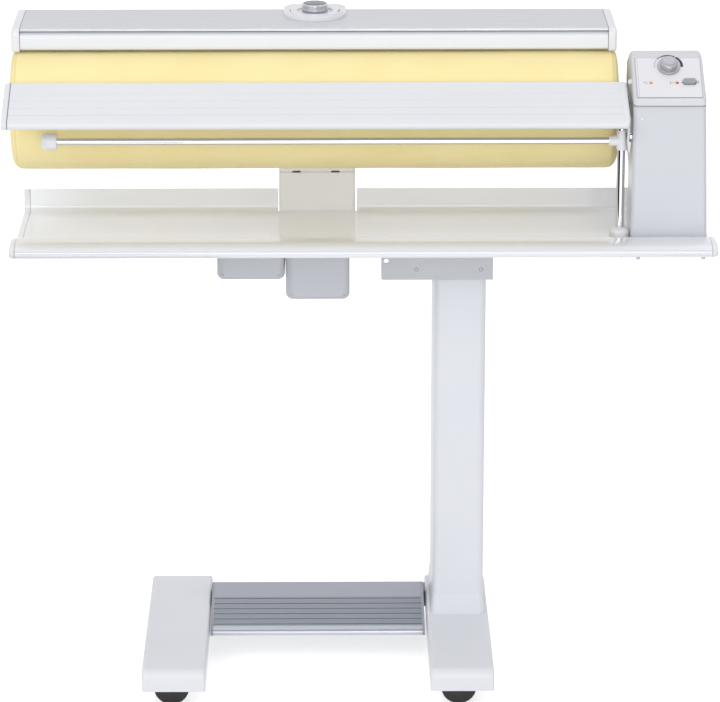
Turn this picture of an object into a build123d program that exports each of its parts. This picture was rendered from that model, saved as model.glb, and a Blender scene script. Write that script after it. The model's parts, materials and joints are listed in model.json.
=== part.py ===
from build123d import *
import os
from math import atan2, cos, degrees, pi, radians, sin, sqrt

# Flatwork ironer: a padded roller carried at its right end by a gear housing, a heated shoe that
# wraps the roller's top and back, a laundry tray, and a column stand with two feet and a pedal.
# Millimetres. X to the right, -Y to the front, Z up. The origin is on the floor, midway between
# the ends, the front and the back.

# ---------------------------------------------------------------- driving dimensions
overall_width = 985.0            # feeding board's free end to the tray's right end
left_end = -overall_width / 2
right_end = overall_width / 2
running_clearance = 0.05         # radial, between a pin or shaft and what turns on it
seat_clearance = 0.3             # between parts that lie on each other across a joint
part_gap = 1.0                   # between moulded covers that move apart
far = 1000.0                     # beyond every part, for cuts that run right through

# feet and crossbar
foot_length = 380.0
foot_width = 90.0
foot_bottom = 32.0
foot_top = 63.0
foot_wall = 2.5
foot_nose = 13.0                 # rounding of a foot's front and rear top edges
foot_edge = 4.0                  # rounding of the long top edges
left_foot_x = -265.5
right_foot_x = 143.25
crossbar_y = 146.0
crossbar_depth = 36.0
crossbar_bottom = 33.0
crossbar_height = 24.0
crossbar_wall = 2.5

# casters
caster_y = foot_length / 2 - 42.0    # swivel axes lie this far before and behind the middle
caster_offset = 4.0              # swivel axis beside the foot's middle line
caster_trail = 8.0
wheel_radius = 25.0
wheel_width = 8.0
wheel_gap = 9.0                  # between the twin wheels, where the hood's web runs
axle_radius = 3.0
swivel_pin_radius = 4.0
caster_plate = 3.0               # the boss under a foot's top that holds a swivel pin
caster_boss = 17.0

# column and tilt bracket
column_width = 74.0
column_depth = 150.0
column_y = 100.0
column_corner = 10.0
column_wall = 1.6
column_flare = 3.0               # the collar at the column's foot stands out this far
column_flare_height = 30.0
bracket_left = 30.0
bracket_right = 189.0
bracket_front = 10.0
bracket_rear = 180.0
bracket_bottom = 579.0
bracket_height = 46.7
bracket_sheet = 3.0
bracket_box_left = 62.0          # left wall of the closed part of the bracket
lock_hole_x = 37.2
lock_hole_z = 606.8
lock_hole_radius = 3.4
tilt_x = 40.0                    # the tilt axis runs along Y
tilt_z = 622.0
tilt_pin_radius = 6.0
tilt_ear_radius = 10.0
pin_head = 3.0                   # thickness of a pin's head, and how far its rim stands out
pin_head_rim = 2.5

# pedal
pedal_pivot_y = 116.0
pedal_pivot_z = 62.0
pedal_slope = 10.3               # degrees, front edge down
pedal_left = left_foot_x + foot_width / 2 + 1.9
pedal_length = right_foot_x - foot_width / 2 - 3.35 - pedal_left
pedal_top = 10.4                 # top face above the pivot, square to it
pedal_rear = 12.0                # tread behind the pivot
pedal_front = 124.5              # tread before the pivot
pedal_plate = 3.0
pedal_nose = 5.0
pedal_cap = 4.0
pedal_groove_count = 6
pedal_groove_pitch = 14.0
pedal_groove_start = 36.0        # first groove before the pivot
pedal_groove_width = 1.6
pedal_groove_depth = 0.8
pedal_pin_radius = 4.0
pedal_ear = 4.0
pedal_ear_radius = 6.5
switch_x = (left_foot_x + right_foot_x) / 2    # the foot switch under the tread
switch_width = 26.0

# tray
tray_left = left_end + 7.7
tray_cap = 8.5
tray_wall = 2.0
tray_rim = 0.6                   # rounding of the end caps' outer rims
tray_front = -139.0
ledge_back = -75.0
ledge_top = 667.0
ledge_height = 11.0
ledge_round = 5.2
tray_floor = 643.0
step_run = 8.0
lip_face = 148.0
lip_height = 33.0
lip_fillet = 9.0
notch_gap = 2.0                  # beside the lift arm's cover, on its right

# chassis under the tray
chassis_left = -190.0
chassis_right = right_end - 27.5
rail_height = 14.0
rail_width = 28.0
rail_wall = 2.5
front_rail_y = 14.0
rear_rail_y = 70.0
cross_member = 20.0
cross_members_x = (-180.0, -4.0, 56.0, 169.0, 300.0, chassis_right - 25.0)
lug_thickness = 10.0
lug_half_width = 10.0
hanger_plate = 6.0

# roller
roller_y = 50.5
roller_z = 821.5
roller_radius = 86.7
roller_left = left_end + 5.0
roller_edge = 14.0
cloth = 1.2
padding = 9.0
soft_gap = 0.3
tube_wall = 1.6
tube_inset = 13.0                # padding wraps the tube's ends by this much
disc_thickness = 6.0
disc_inset = 12.0
shaft_radius = 15.0
shaft_bore = 10.0
end_opening = 52.0               # radius of the cloth's drawn opening at each end

# housing and head
housing_left = right_end - 117.0
housing_right_top = housing_left + 100.5
housing_right_foot = housing_left + 107.2
housing_front = -79.0
housing_rear = -5.0
housing_wall = 3.0
head_joint = 855.0
head_front = -82.5
head_lip = 866.3
panel_top_y = -17.5
panel_top_z = 909.3
crest_z = 912.0
crest_front = -9.0
crest_rear = 12.0
head_rear_y = 88.0
head_rear_z = 874.0
gearcase_radius = 65.5
gearcase_inset = 9.5             # the gear case's left side lies behind the housing's by this
gearcase_step_y = 58.0
shaft_boss = 30.0
housing_edge = 6.0
shaft_hole = 20.0
roller_right = housing_left - 14.7

# drive
bearing_outer = 31.0
bearing_width = 16.0
bearing_left = housing_left + 12.5
bearing_space = 2.0              # between the two bearings, and from the second to the gear
boss_wall = 7.0
frame_plate = 8.0
gear_module = 2.5
roller_teeth = 44
pinion_teeth = 12
gear_left = bearing_left + 2 * (bearing_width + bearing_space)
gear_width = 10.0
gear_backlash = 0.35
pinion_bearing_angle = 195.0     # from the roller's axis to the pinion's, degrees
pinion_bore = 5.0

# control panel
panel_left = housing_left + 4.7
panel_right = housing_left + 94.5
panel_start = 1.8                # up the slope, from the lip
panel_end = 76.0
panel_thickness = 2.0
panel_groove = 0.5
knob_x = housing_left + 50.7
knob_up = 59.0
knob_radius = 15.4
knob_height = 13.0
knob_shaft = 3.0
lamp_up = 29.2
lamp_x = (housing_left + 24.6, housing_left + 61.1)
lamp_radius = 2.2
rocker_x = housing_left + 78.0
rocker_up = 30.4
rocker_length = 19.6
rocker_width = 8.6
rocker_height = 3.4
rocker_room = 0.8                # between the rocker and its opening
rocker_depth = 6.0               # below the panel's face
rocker_pin_radius = 1.2
rocker_pin_depth = 4.0

# heated shoe
shoe_left = left_end + 6.0
shoe_right = housing_left - 16.5
shoe_middle = (shoe_left + shoe_right) / 2
shoe_cap = 12.0
plate_gap = 0.6                  # between the cloth and the heated plate
plate_thickness = 4.0
plate_front_angle = 100.5        # degrees round the roller, from straight back
plate_rear_angle = -16.0
shoe_top = 940.6
shoe_sheet = 2.0
shoe_top_front = 29.0
shoe_lip = 4.2                   # height of the top plate's turned-down front edge
shoe_bend_y = 146.0
shoe_bend_radius = 25.0
shoe_rim = 4.0                   # rounding of the end caps' outer rims
shoe_rear_foot = 812.0
element_radius = 4.0
element_angles = (2.0, 28.0, 54.0, 80.0)
guard_front = 25.0
guard_bottom = 910.3
guard_height = 25.4
guard_round = 9.0
guard_thickness = 2.6
guard_pin_radius = 1.6

# pressure dial on the shoe
dial_x = shoe_middle + 0.75
dial_y = 114.0
dial_radius = 43.8
dial_rear = 155.0
dial_top = 946.8
dial_ring = 25.2
dial_step = 1.2
pressure_knob_radius = 18.4
pressure_knob_top = 957.2
pressure_stem = 5.0

# lift arm
lift_y = 118.0
lift_z = 622.0
lift_pin_radius = 6.0
lift_boss = 12.0
arm_plates_x = (shoe_middle - 33.25, shoe_middle + 34.25)    # left faces of the lever plates
arm_plate = 5.0
arm_left = shoe_middle - 52.25
arm_right = shoe_middle + 58.25
arm_front = 144.0
arm_depth = 30.0
arm_bottom = tray_floor - tray_wall
arm_wall = 2.5
arm_corner = 6.0
arm_slot_z = 702.0
arm_slot_width = 12.0

# feeding board
board_left = left_end
board_right = housing_left - 6.0
board_cap = 8.5
board_wall = 1.8
board_web = 48.0                 # the web inside the board lies this far up its slope
board_rim = 2.5                  # rounding of the end caps' outer rims
board_front = -109.0
board_front_z = 835.3
board_nose = 6.2
board_rear = -20.0
board_rear_z = 877.0
board_thickness = 9.0
board_groove_count = 4
board_groove_pitch = 16.1
board_groove_start = 14.6
board_groove_depth = 0.6
board_groove_width = 1.4
ear_left = housing_left - 7.2    # the hinge ear hangs between the tee and the housing
ear_thickness = 2.7
tongue_width = 5.4               # the ear's wedge below the hinge
tongue_bottom = 786.0
stud_radius = 5.6
board_pivot_y = -66.0
board_pivot_z = 809.0
board_pin_radius = 3.0

# laundry bar
post_x = housing_left - 14.5
post_y = -61.5
post_radius = 5.8
post_top = 820.0
bar_radius = 4.9
bar_z = 801.5
bar_left = left_end + 62.5
ball_radius = 11.8
ball_right = 10.5                # the knob's flat side lies this far right of the bar's end
ball_round = 8.5
tee_width = 13.6
tee_height = 29.0
tee_sleeve = 10.5
dome_radius = 14.2
dome_top = 678.0
dome_socket = 22.0

# press drive boxes under the tray
press_front = -30.0
press_rear = 98.0
press_top = tray_floor - tray_wall - rail_height - seat_clearance
left_box_left = shoe_middle - 138.05
left_box_right = shoe_middle - 42.45
left_box_bottom = 590.3
right_box_left = shoe_middle - 41.35
right_box_right = shoe_middle + 48.85
right_box_bottom = 561.0
box_corner = 11.0
box_wall = 2.5
press_motor_radius = 24.0
press_motor_length = 66.0
press_motor_rise = 34.0          # its axis above the box's bottom
press_gear_half = 28.0
press_gear_depth = 34.0


# ---------------------------------------------------------------- shape helpers
def block(x0, x1, y0, y1, z0, z1):
    """A box between two corners."""
    return Pos((x0 + x1) / 2, (y0 + y1) / 2, (z0 + z1) / 2) * Box(x1 - x0, y1 - y0, z1 - z0)


def rod_x(x0, x1, y, z, radius):
    """A cylinder along X."""
    upright = Cylinder(radius, x1 - x0, align=(Align.CENTER, Align.CENTER, Align.MIN))
    return Pos(x0, y, z) * Rot(0, 90, 0) * upright


def rod_y(y0, y1, x, z, radius):
    """A cylinder along Y."""
    upright = Cylinder(radius, y1 - y0, align=(Align.CENTER, Align.CENTER, Align.MIN))
    return Pos(x, y0, z) * Rot(-90, 0, 0) * upright


def rod_z(z0, z1, x, y, radius):
    """A cylinder along Z."""
    return Pos(x, y, z0) * Cylinder(radius, z1 - z0, align=(Align.CENTER, Align.CENTER, Align.MIN))


def outline(*corners):
    """A closed face from corners, each given as (across, up, rounding)."""
    points = [(across, up) for across, up, rounding in corners]
    return make_face(FilletPolyline(*points, radius=[rounding for a, u, rounding in corners], close=True))


def along_x(face, x0, x1):
    """Extrude a side view (y, z) from x0 to x1."""
    return extrude(Plane(origin=(x0, 0, 0), x_dir=(0, 1, 0), z_dir=(1, 0, 0)) * face, x1 - x0)


def along_y(face, y0, y1):
    """Extrude a front view (x, z) from y0 to y1."""
    return extrude(Plane(origin=(0, y1, 0), x_dir=(1, 0, 0), z_dir=(0, -1, 0)) * face, y1 - y0)


def along_z(face, z0, z1):
    """Extrude a plan view (x, y) from z0 to z1."""
    return extrude(Plane.XY.offset(z0) * face, z1 - z0)


def at_x(part, x):
    """The edges of a part's flat end face at x."""
    return part.faces().filter_by(Axis.X).sort_by(lambda face: abs(face.center().X - x))[0].edges()


def round_ends(part, x_values, radius):
    """Round the rims of the end faces at the given x."""
    for x in x_values:
        part = fillet(at_x(part, x), radius)
    return part


def about_x(part, y, z, angle):
    """Turn a part about an axis along X, by the right-hand rule."""
    return Pos(0, y, z) * Rot(angle, 0, 0) * Pos(0, -y, -z) * part


def on_roller(angle, radius):
    """The (y, z) of a point at an angle round the roller's axis, from straight back."""
    return roller_y + radius * cos(radians(angle)), roller_z + radius * sin(radians(angle))


def ring_sector(inner, outer, start, end):
    """The part of a ring round the roller's axis between two angles, as a side view."""
    reach = 2 * outer
    middle = (start + end) / 2
    wedge = [(roller_y, roller_z)] + [on_roller(a, reach) for a in (start, middle, end)]
    ring = Pos(roller_y, roller_z) * (Circle(outer) - Circle(inner))
    return ring & make_face(Polyline(*wedge, close=True))


# ---------------------------------------------------------------- stand
def foot(x):
    """A hollow foot, open below, with its nose and heel rounded down."""
    half_width, half_length = foot_width / 2, foot_length / 2
    side = outline(
        (-half_length, foot_bottom, 0), (-half_length, foot_top, foot_nose),
        (half_length, foot_top, foot_nose), (half_length, foot_bottom, 0))
    shell = along_x(side, x - half_width, x + half_width)
    long_edges = [edge for end in (x - half_width, x + half_width) for edge in at_x(shell, end)
                  if edge.center().Z > foot_bottom + 1]
    shell = fillet(long_edges, foot_edge)
    inner_end, inner_top = half_length - foot_wall, foot_top - foot_wall
    inside = outline(
        (-inner_end, foot_bottom - 1, 0), (-inner_end, inner_top, foot_nose - foot_wall),
        (inner_end, inner_top, foot_nose - foot_wall), (inner_end, foot_bottom - 1, 0))
    shell -= along_x(inside, x - half_width + foot_wall, x + half_width - foot_wall)
    for end in (-1, 1):
        seat = end * caster_y
        shell += rod_z(inner_top - caster_plate, inner_top, x + caster_offset, seat, caster_boss)
        shell -= rod_z(foot_bottom, inner_top - seat_clearance, x + caster_offset, seat,
                       swivel_pin_radius + running_clearance)
    return shell


def crossbar():
    """A rectangular tube between the feet, with two ears for the pedal."""
    x0 = left_foot_x + foot_width / 2
    x1 = right_foot_x - foot_width / 2
    y0, y1 = crossbar_y - crossbar_depth / 2, crossbar_y + crossbar_depth / 2
    z0, z1 = crossbar_bottom, crossbar_bottom + crossbar_height
    tube = block(x0, x1, y0, y1, z0, z1)
    tube -= block(x0 + crossbar_wall, x1 - crossbar_wall, y0 + crossbar_wall, y1 - crossbar_wall,
                  z0 + crossbar_wall, z1 - crossbar_wall)
    for x in pedal_ears_x():
        ear = outline((pedal_pivot_y - pedal_ear_radius, pedal_pivot_z, 0),
                      (pedal_pivot_y - 4, crossbar_bottom + 6, 0),
                      (y0 + 1, crossbar_bottom + 4, 0), (y0 + 1, z1 - 1, 0),
                      (pedal_pivot_y + pedal_ear_radius, pedal_pivot_z, 0))
        ear = ear + Pos(pedal_pivot_y, pedal_pivot_z) * Circle(pedal_ear_radius)
        ear -= Pos(pedal_pivot_y, pedal_pivot_z) * Circle(pedal_pin_radius)
        tube += along_x(ear, x, x + pedal_ear)
    return tube


def pedal_ears_x():
    """Left faces of the two ears, just inside the pedal's end caps."""
    return pedal_left + pedal_cap + part_gap, pedal_left + pedal_length - pedal_cap - part_gap - pedal_ear


def column():
    """A rounded rectangular tube on the right foot, flared at its base."""
    section = RectangleRounded(column_width, column_depth, column_corner)
    inside = RectangleRounded(column_width - 2 * column_wall, column_depth - 2 * column_wall,
                              column_corner - column_wall)
    base = RectangleRounded(column_width + 2 * column_flare, column_depth + 2 * column_flare, column_corner)
    lean = degrees(atan2(column_flare, column_flare_height))
    place = Pos(right_foot_x, column_y)
    tube = along_z(place * section, foot_top, bracket_bottom)
    tube += extrude(Plane.XY.offset(foot_top) * place * base, column_flare_height, taper=lean)
    tube -= along_z(place * inside, foot_top + column_wall, bracket_bottom - column_wall)
    return tube


def tilt_bracket():
    """A folded steel bracket on the column: two flanges with ears for the tilt pin, and a box."""
    top = bracket_bottom + bracket_height
    body = block(bracket_box_left, bracket_right, bracket_front, bracket_rear, bracket_bottom, top)
    body -= block(bracket_box_left + bracket_sheet, bracket_right - bracket_sheet,
                  bracket_front + bracket_sheet, bracket_rear - bracket_sheet,
                  bracket_bottom + bracket_sheet, top - bracket_sheet)
    flange = outline(
        (bracket_left, bracket_bottom, 3), (bracket_box_left + 5, bracket_bottom, 0),
        (bracket_box_left + 5, top, 0), (bracket_left, top, 0))
    flange += Pos(tilt_x, tilt_z) * Circle(tilt_ear_radius)
    flange -= Pos(tilt_x, tilt_z) * Circle(tilt_pin_radius)
    flange -= Pos(lock_hole_x, lock_hole_z) * Circle(lock_hole_radius)
    body += along_y(flange, bracket_front, bracket_front + bracket_sheet)
    body += along_y(flange, bracket_rear - bracket_sheet, bracket_rear)
    return body


def stand_pins():
    """The tilt pin and the pedal's pin, both fixed in the stand."""
    tilt_pin = rod_y(bracket_front, bracket_rear, tilt_x, tilt_z, tilt_pin_radius)
    for y0 in (bracket_front - pin_head, bracket_rear):
        tilt_pin += rod_y(y0, y0 + pin_head, tilt_x, tilt_z, tilt_pin_radius + pin_head_rim)
    pedal_pin = rod_x(pedal_left + 1, pedal_left + pedal_length - 1, pedal_pivot_y, pedal_pivot_z,
                      pedal_pin_radius)
    return Compound(children=[tilt_pin, pedal_pin])


def pedal_switch():
    """The foot switch on the crossbar's front, with its plunger under the tread."""
    face = crossbar_y - crossbar_depth / 2
    half = switch_width / 2
    body = block(switch_x - half, switch_x + half, face - 24, face, crossbar_bottom + 2,
                 crossbar_bottom + crossbar_height)
    body = fillet(body.edges().filter_by(Axis.Z), 2)
    return body + rod_z(crossbar_bottom + crossbar_height - 1, pedal_pivot_z + 2, switch_x, face - 21, 2.5)


# ---------------------------------------------------------------- casters
def caster_hood(x, y):
    """The swivel hood between and over the twin wheels, with its pin."""
    wheel_x = x - caster_trail
    half = wheel_gap / 2 - 0.5
    web = along_y(Pos(wheel_x, wheel_radius) * Circle(wheel_radius - 5), y - half, y + half)
    cap_z = foot_top - foot_wall - caster_plate - 0.5
    neck = block(wheel_x - 10, x + 12, y - half, y + half, wheel_radius + 8, cap_z)
    disc = rod_z(cap_z - 2.5, cap_z, x, y, 13)
    pin = rod_z(cap_z - 1, foot_top - foot_wall - 1, x, y, swivel_pin_radius)
    hood = web + neck + disc + pin
    hood -= rod_y(y - 20, y + 20, wheel_x, wheel_radius, axle_radius)
    return hood


def caster_wheels(x, y):
    """Twin wheels on one axle."""
    wheel_x = x - caster_trail
    half_gap = wheel_gap / 2
    outer = half_gap + wheel_width
    axle = rod_y(y - outer + 1, y + outer - 1, wheel_x, wheel_radius, axle_radius - running_clearance)
    pair = axle
    for y0 in (y - outer, y + half_gap):
        wheel = rod_y(y0, y0 + wheel_width, wheel_x, wheel_radius, wheel_radius)
        wheel = fillet(wheel.edges().filter_by(GeomType.CIRCLE), 1.5)
        pair += wheel
    return pair


# ---------------------------------------------------------------- pedal
def slope_pedal(part):
    """Tip a pedal piece that was drawn level."""
    return about_x(part, pedal_pivot_y, pedal_pivot_z, pedal_slope)


def pedal_tread():
    """The ribbed aluminium tread with its round nose."""
    top = pedal_pivot_z + pedal_top
    rear = pedal_pivot_y + pedal_rear
    front = pedal_pivot_y - pedal_front
    side = outline((front + pedal_nose, top, 0), (rear, top, 2), (rear, top - 7, 0),
                   (rear - pedal_plate, top - 7, 0), (rear - pedal_plate, top - pedal_plate, 0),
                   (front + pedal_nose, top - pedal_plate, 0))
    side += Pos(front + pedal_nose, top - pedal_nose) * Circle(pedal_nose)
    for i in range(pedal_groove_count):
        y = pedal_pivot_y - pedal_groove_start - i * pedal_groove_pitch
        side -= Pos(y, top) * Rectangle(pedal_groove_width, 2 * pedal_groove_depth)
    x0 = pedal_left + pedal_cap
    return slope_pedal(along_x(side, x0, pedal_left + pedal_length - pedal_cap))


def pedal_caps():
    """The two moulded ends of the pedal, which turn on the pedal's pin."""
    top = pedal_pivot_z + pedal_top
    rear = pedal_pivot_y + pedal_rear
    front = pedal_pivot_y - pedal_front
    side = outline((front, top, 4.5), (rear, top, 2), (rear, pedal_pivot_z - 7, 5),
                   (pedal_pivot_y - 9, pedal_pivot_z - 7, 5), (front, top - 2 * pedal_nose, 4.5))
    side -= Pos(pedal_pivot_y, pedal_pivot_z) * Circle(pedal_pin_radius + running_clearance)
    ends = [along_x(side, x, x + pedal_cap) for x in (pedal_left, pedal_left + pedal_length - pedal_cap)]
    return Compound(children=[slope_pedal(end) for end in ends])


# ---------------------------------------------------------------- tray and chassis
def tray_outline():
    """Side view of the tray: a hollow front ledge, a floor and an upturned rear lip."""
    under = tray_floor - tray_wall
    step = ledge_back + step_run
    return outline(
        (tray_front, ledge_top - ledge_height, ledge_round), (tray_front, ledge_top, ledge_round),
        (ledge_back, ledge_top, 2.5), (step, tray_floor, 6), (lip_face, tray_floor, lip_fillet),
        (lip_face, tray_floor + lip_height, 0.7), (lip_face + tray_wall, tray_floor + lip_height, 0.7),
        (lip_face + tray_wall, under, lip_fillet + tray_wall), (step - tray_wall, under, 3),
        (ledge_back - tray_wall, ledge_top - ledge_height, 3))


def tray_step():
    """The tray's ledge and the space below it, which parts standing on the tray are cut back by."""
    step = ledge_back + step_run
    face = outline((tray_front, tray_floor - 1, 0), (tray_front, ledge_top, 0), (ledge_back, ledge_top, 2.5),
                   (step, tray_floor, 6), (step + 40, tray_floor, 0), (step + 40, tray_floor - 1, 0))
    return along_x(face, left_end, right_end)


def arm_notch():
    """The space that the lift arm passes through in the tray's rear."""
    return block(arm_left - part_gap, arm_right + notch_gap, arm_front - part_gap,
                 lip_face + 3 * tray_wall, tray_floor - 3 * tray_wall, tray_floor + 2 * lip_height)


def tray():
    """The laundry tray, notched behind for the lift arm."""
    shelf = along_x(tray_outline(), tray_left + tray_cap, right_end - tray_cap)
    chamber = outline(
        (tray_front + 4, ledge_top - ledge_height + 2.5, 2), (tray_front + 4, ledge_top - 2.5, 2),
        (ledge_back - 9, ledge_top - 2.5, 1), (ledge_back - 9, ledge_top - ledge_height + 2.5, 1))
    shelf -= along_x(chamber, tray_left + tray_cap + 6, right_end - tray_cap - 6)
    return shelf - arm_notch()


def tray_caps():
    """The two moulded ends of the tray."""
    left = round_ends(along_x(tray_outline(), tray_left, tray_left + tray_cap), (tray_left,), tray_rim)
    right = round_ends(along_x(tray_outline(), right_end - tray_cap, right_end), (right_end,), tray_rim)
    return Compound(children=[left, right])


def chassis():
    """Two channel rails and cross members under the tray, with lugs on the tilt pin."""
    top = tray_floor - tray_wall
    bottom = top - rail_height
    frame = None
    for y in (front_rail_y, rear_rail_y):
        rail = block(chassis_left, chassis_right, y, y + rail_width, bottom, top)
        rail -= block(chassis_left + rail_wall, chassis_right - rail_wall, y + rail_wall,
                      y + rail_width - rail_wall, bottom - 1, top - rail_wall)
        frame = rail if frame is None else frame + rail
    for x in cross_members_x:
        frame += block(x, x + cross_member, front_rail_y + 1, rear_rail_y + rail_width - 1,
                       top - rail_wall, top)
    frame -= rod_y(bracket_front, bracket_rear, tilt_x, tilt_z, tilt_pin_radius + part_gap)
    for y0 in (bracket_front + bracket_sheet + part_gap,
               bracket_rear - bracket_sheet - part_gap - lug_thickness):
        lug = outline((tilt_x - lug_half_width, tilt_z, 0), (tilt_x + lug_half_width, tilt_z, 0),
                      (tilt_x + lug_half_width, top, 0), (tilt_x - lug_half_width, top, 0))
        lug += Pos(tilt_x, tilt_z) * Circle(lug_half_width)
        lug -= Pos(tilt_x, tilt_z) * Circle(tilt_pin_radius + running_clearance)
        frame += along_y(lug, y0, y0 + lug_thickness)
    rear_lug = bracket_rear - bracket_sheet - part_gap
    frame += block(tilt_x - lug_half_width, tilt_x + lug_half_width, rear_rail_y + rail_width - 1,
                   min(rear_lug, lip_face - lip_fillet), top - rail_wall, top)
    frame += block(tilt_x - lug_half_width, tilt_x + lug_half_width, rear_rail_y + rail_width - 1,
                   rear_lug, top - rail_wall - 4, top - rail_wall)
    for x in (arm_plates_x[0] - part_gap - hanger_plate, arm_plates_x[1] + arm_plate + part_gap):
        hanger = outline((rear_rail_y + rail_width - 1, bottom, 0),
                         (rear_rail_y + rail_width + 1, bottom, 0), (lift_y, lift_z - lift_boss, 0),
                         (lift_y + lift_boss, lift_z, 0), (lift_y + lift_boss, top, 0),
                         (rear_rail_y + rail_width - 1, top, 0))
        hanger += Pos(lift_y, lift_z) * Circle(lift_boss)
        hanger -= Pos(lift_y, lift_z) * Circle(lift_pin_radius)
        frame += along_x(hanger, x, x + hanger_plate)
    return frame


def lift_pin():
    """The pin that the lift arm turns on."""
    reach = part_gap + hanger_plate + 2
    return rod_x(arm_plates_x[0] - reach, arm_plates_x[1] + arm_plate + reach, lift_y, lift_z,
                 lift_pin_radius)


def press_box(x0, x1, z0):
    """A drawn cover under the tray, open at its top."""
    shell = block(x0, x1, press_front, press_rear, z0, press_top)
    shell = fillet(shell.edges().filter_by(Axis.Z), box_corner)
    shell = fillet(shell.faces().sort_by(Axis.Z)[0].edges(), box_corner - 2)
    inner = block(x0 + box_wall, x1 - box_wall, press_front + box_wall, press_rear - box_wall,
                  z0 + box_wall, press_top + 1)
    inner = fillet(inner.edges().filter_by(Axis.Z), box_corner - box_wall)
    inner = fillet(inner.faces().sort_by(Axis.Z)[0].edges(), box_corner - 2 - box_wall)
    return shell - inner


def press_motor():
    """The gear motor of the press drive, in the right box, hung from the rails."""
    x = (right_box_left + right_box_right) / 2
    z = right_box_bottom + press_motor_rise
    front = press_front + box_corner + 1
    rear = front + press_motor_length
    motor = rod_y(front, rear, x, z, press_motor_radius)
    motor = fillet(motor.edges().filter_by(GeomType.CIRCLE), 3)
    gearbox = block(x - press_gear_half, x + press_gear_half, rear, rear + press_gear_depth,
                    z - press_motor_radius - 2, press_top)
    middle = (front + rear) / 2
    strap = block(x - 8, x + 8, middle - 15, middle + 15, z + press_motor_radius - 4, press_top)
    return motor + gearbox + strap


# ---------------------------------------------------------------- housing
def housing_silhouette(inset=0.0):
    """Side view of the housing and its head: slim upright, round gear case, sloped panel."""
    upright = outline(
        (housing_front, tray_floor, 0), (housing_front, head_joint, 0), (head_front, head_joint, 0),
        (head_front, head_lip, 4), (panel_top_y, panel_top_z, 8), (crest_front, crest_z, 6),
        (crest_rear, crest_z, 14), (head_rear_y, head_rear_z, 0), (head_rear_y, roller_z, 0),
        (housing_rear, roller_z, 0), (housing_rear, tray_floor, 0))
    face = upright + Pos(roller_y, roller_z) * Circle(gearcase_radius)
    corner = [v for v in face.vertices() if abs(v.X - housing_rear) < 0.01 and v.Y > tray_floor + 1
              and v.Y < roller_z]
    if corner:
        face = fillet(corner, 24)
    return offset(face, amount=-inset) if inset else face


def housing_wedge(inset=0.0):
    """Front view of the housing, wider at its foot, as a deep wedge."""
    low, high = tray_floor, crest_z + 20
    lean = (housing_right_foot - housing_right_top) / (head_joint - tray_floor)
    top_x = housing_right_foot - lean * (high - low)
    face = outline((housing_left + inset, low, 0), (housing_right_foot - inset, low, 0),
                   (top_x - inset, high, 0), (housing_left + inset, high, 0))
    return along_y(face, -far, far)


def housing_block():
    """The housing and head as one solid block with rounded side rims."""
    raw = along_x(housing_silhouette(), housing_left - 5, housing_right_foot + 5) & housing_wedge()
    raw -= gearcase_step(0.0)
    corner = [edge for edge in raw.edges().filter_by(Axis.X)
              if abs(edge.center().Y - gearcase_step_y) < 0.1 and edge.center().Z > head_joint]
    raw = fillet(corner, 2 * housing_edge)
    sides = raw.faces().sort_by(Axis.X)
    rims = [edge for side in (sides[0], sides[-1]) for edge in side.edges()
            if edge.center().Z > tray_floor + 1 and edge.center().Y < gearcase_step_y - 5]
    return fillet(rims, housing_edge)


def gearcase_step(inset):
    """What is cut from the housing's left side, behind the head, to set the gear case back."""
    step = block(housing_left - 5, housing_left + gearcase_inset + inset, gearcase_step_y - inset, far,
                 tray_floor, crest_z)
    return step - rod_x(housing_left - 5, housing_left + gearcase_inset + inset, roller_y, roller_z,
                        shaft_boss - inset)


def housing_cavity():
    """The space inside the housing and head."""
    hollow = along_x(housing_silhouette(housing_wall), housing_left - 5, housing_right_foot + 5)
    return (hollow & housing_wedge(housing_wall)) - gearcase_step(housing_wall)


def below(z):
    return block(-far, far, -far, far, z - far, z)


def above(z):
    return block(-far, far, -far, far, z, z + far)


def housing_body(shell):
    """The housing below the head, with the hole for the roller's shaft."""
    body = shell & below(head_joint - 0.3)
    body -= rod_x(housing_left - 1, housing_left + housing_wall + 1, roller_y, roller_z, shaft_hole)
    body -= rod_x(housing_left - 1, housing_left + housing_wall + 1, board_pivot_y, board_pivot_z,
                  board_pin_radius)
    body -= block(housing_left + housing_wall, housing_right_foot - housing_wall,
                  housing_front + housing_wall, housing_rear - housing_wall,
                  tray_floor - 1, tray_floor + housing_wall + 1)
    return body - tray_step()


def control_head(shell):
    """The head with its sloped face recessed for the control panel."""
    head = shell & above(head_joint + 0.3)
    recess = panel_block(panel_left - panel_groove, panel_right + panel_groove,
                         panel_start - panel_groove, panel_end + panel_groove,
                         -panel_thickness, 5)
    head -= recess
    head -= panel_block(panel_left + 6, panel_right - 6, panel_start + 6, panel_end - 6, -9, 0)
    return head


def panel_frame():
    """A plane on the sloped face: x to the right, y up the slope, z outwards."""
    slope = atan2(panel_top_z - head_lip, panel_top_y - head_front)
    return Plane(origin=(0, head_front, head_lip), x_dir=(1, 0, 0), z_dir=(0, -sin(slope), cos(slope)))


def panel_block(x0, x1, up0, up1, out0, out1):
    """A box on the sloped face."""
    face = Pos((x0 + x1) / 2, (up0 + up1) / 2) * Rectangle(x1 - x0, up1 - up0)
    return extrude(panel_frame().offset(out0) * face, out1 - out0)


def panel_rod(x, up, out0, out1, radius):
    """A cylinder square to the sloped face."""
    return extrude(panel_frame().offset(out0) * (Pos(x, up) * Circle(radius)), out1 - out0)


def rocker_outline(grow=0.0):
    """The rocker's plan: a bar with pointed ends."""
    half_length, half_width = rocker_length / 2 + grow, rocker_width / 2 + grow
    tip = half_width * 0.6
    points = [(-half_length, 0), (-half_length + tip, half_width), (half_length - tip, half_width),
              (half_length, 0), (half_length - tip, -half_width), (-half_length + tip, -half_width)]
    return Pos(rocker_x, rocker_up) * make_face(Polyline(*points, close=True))


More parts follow.
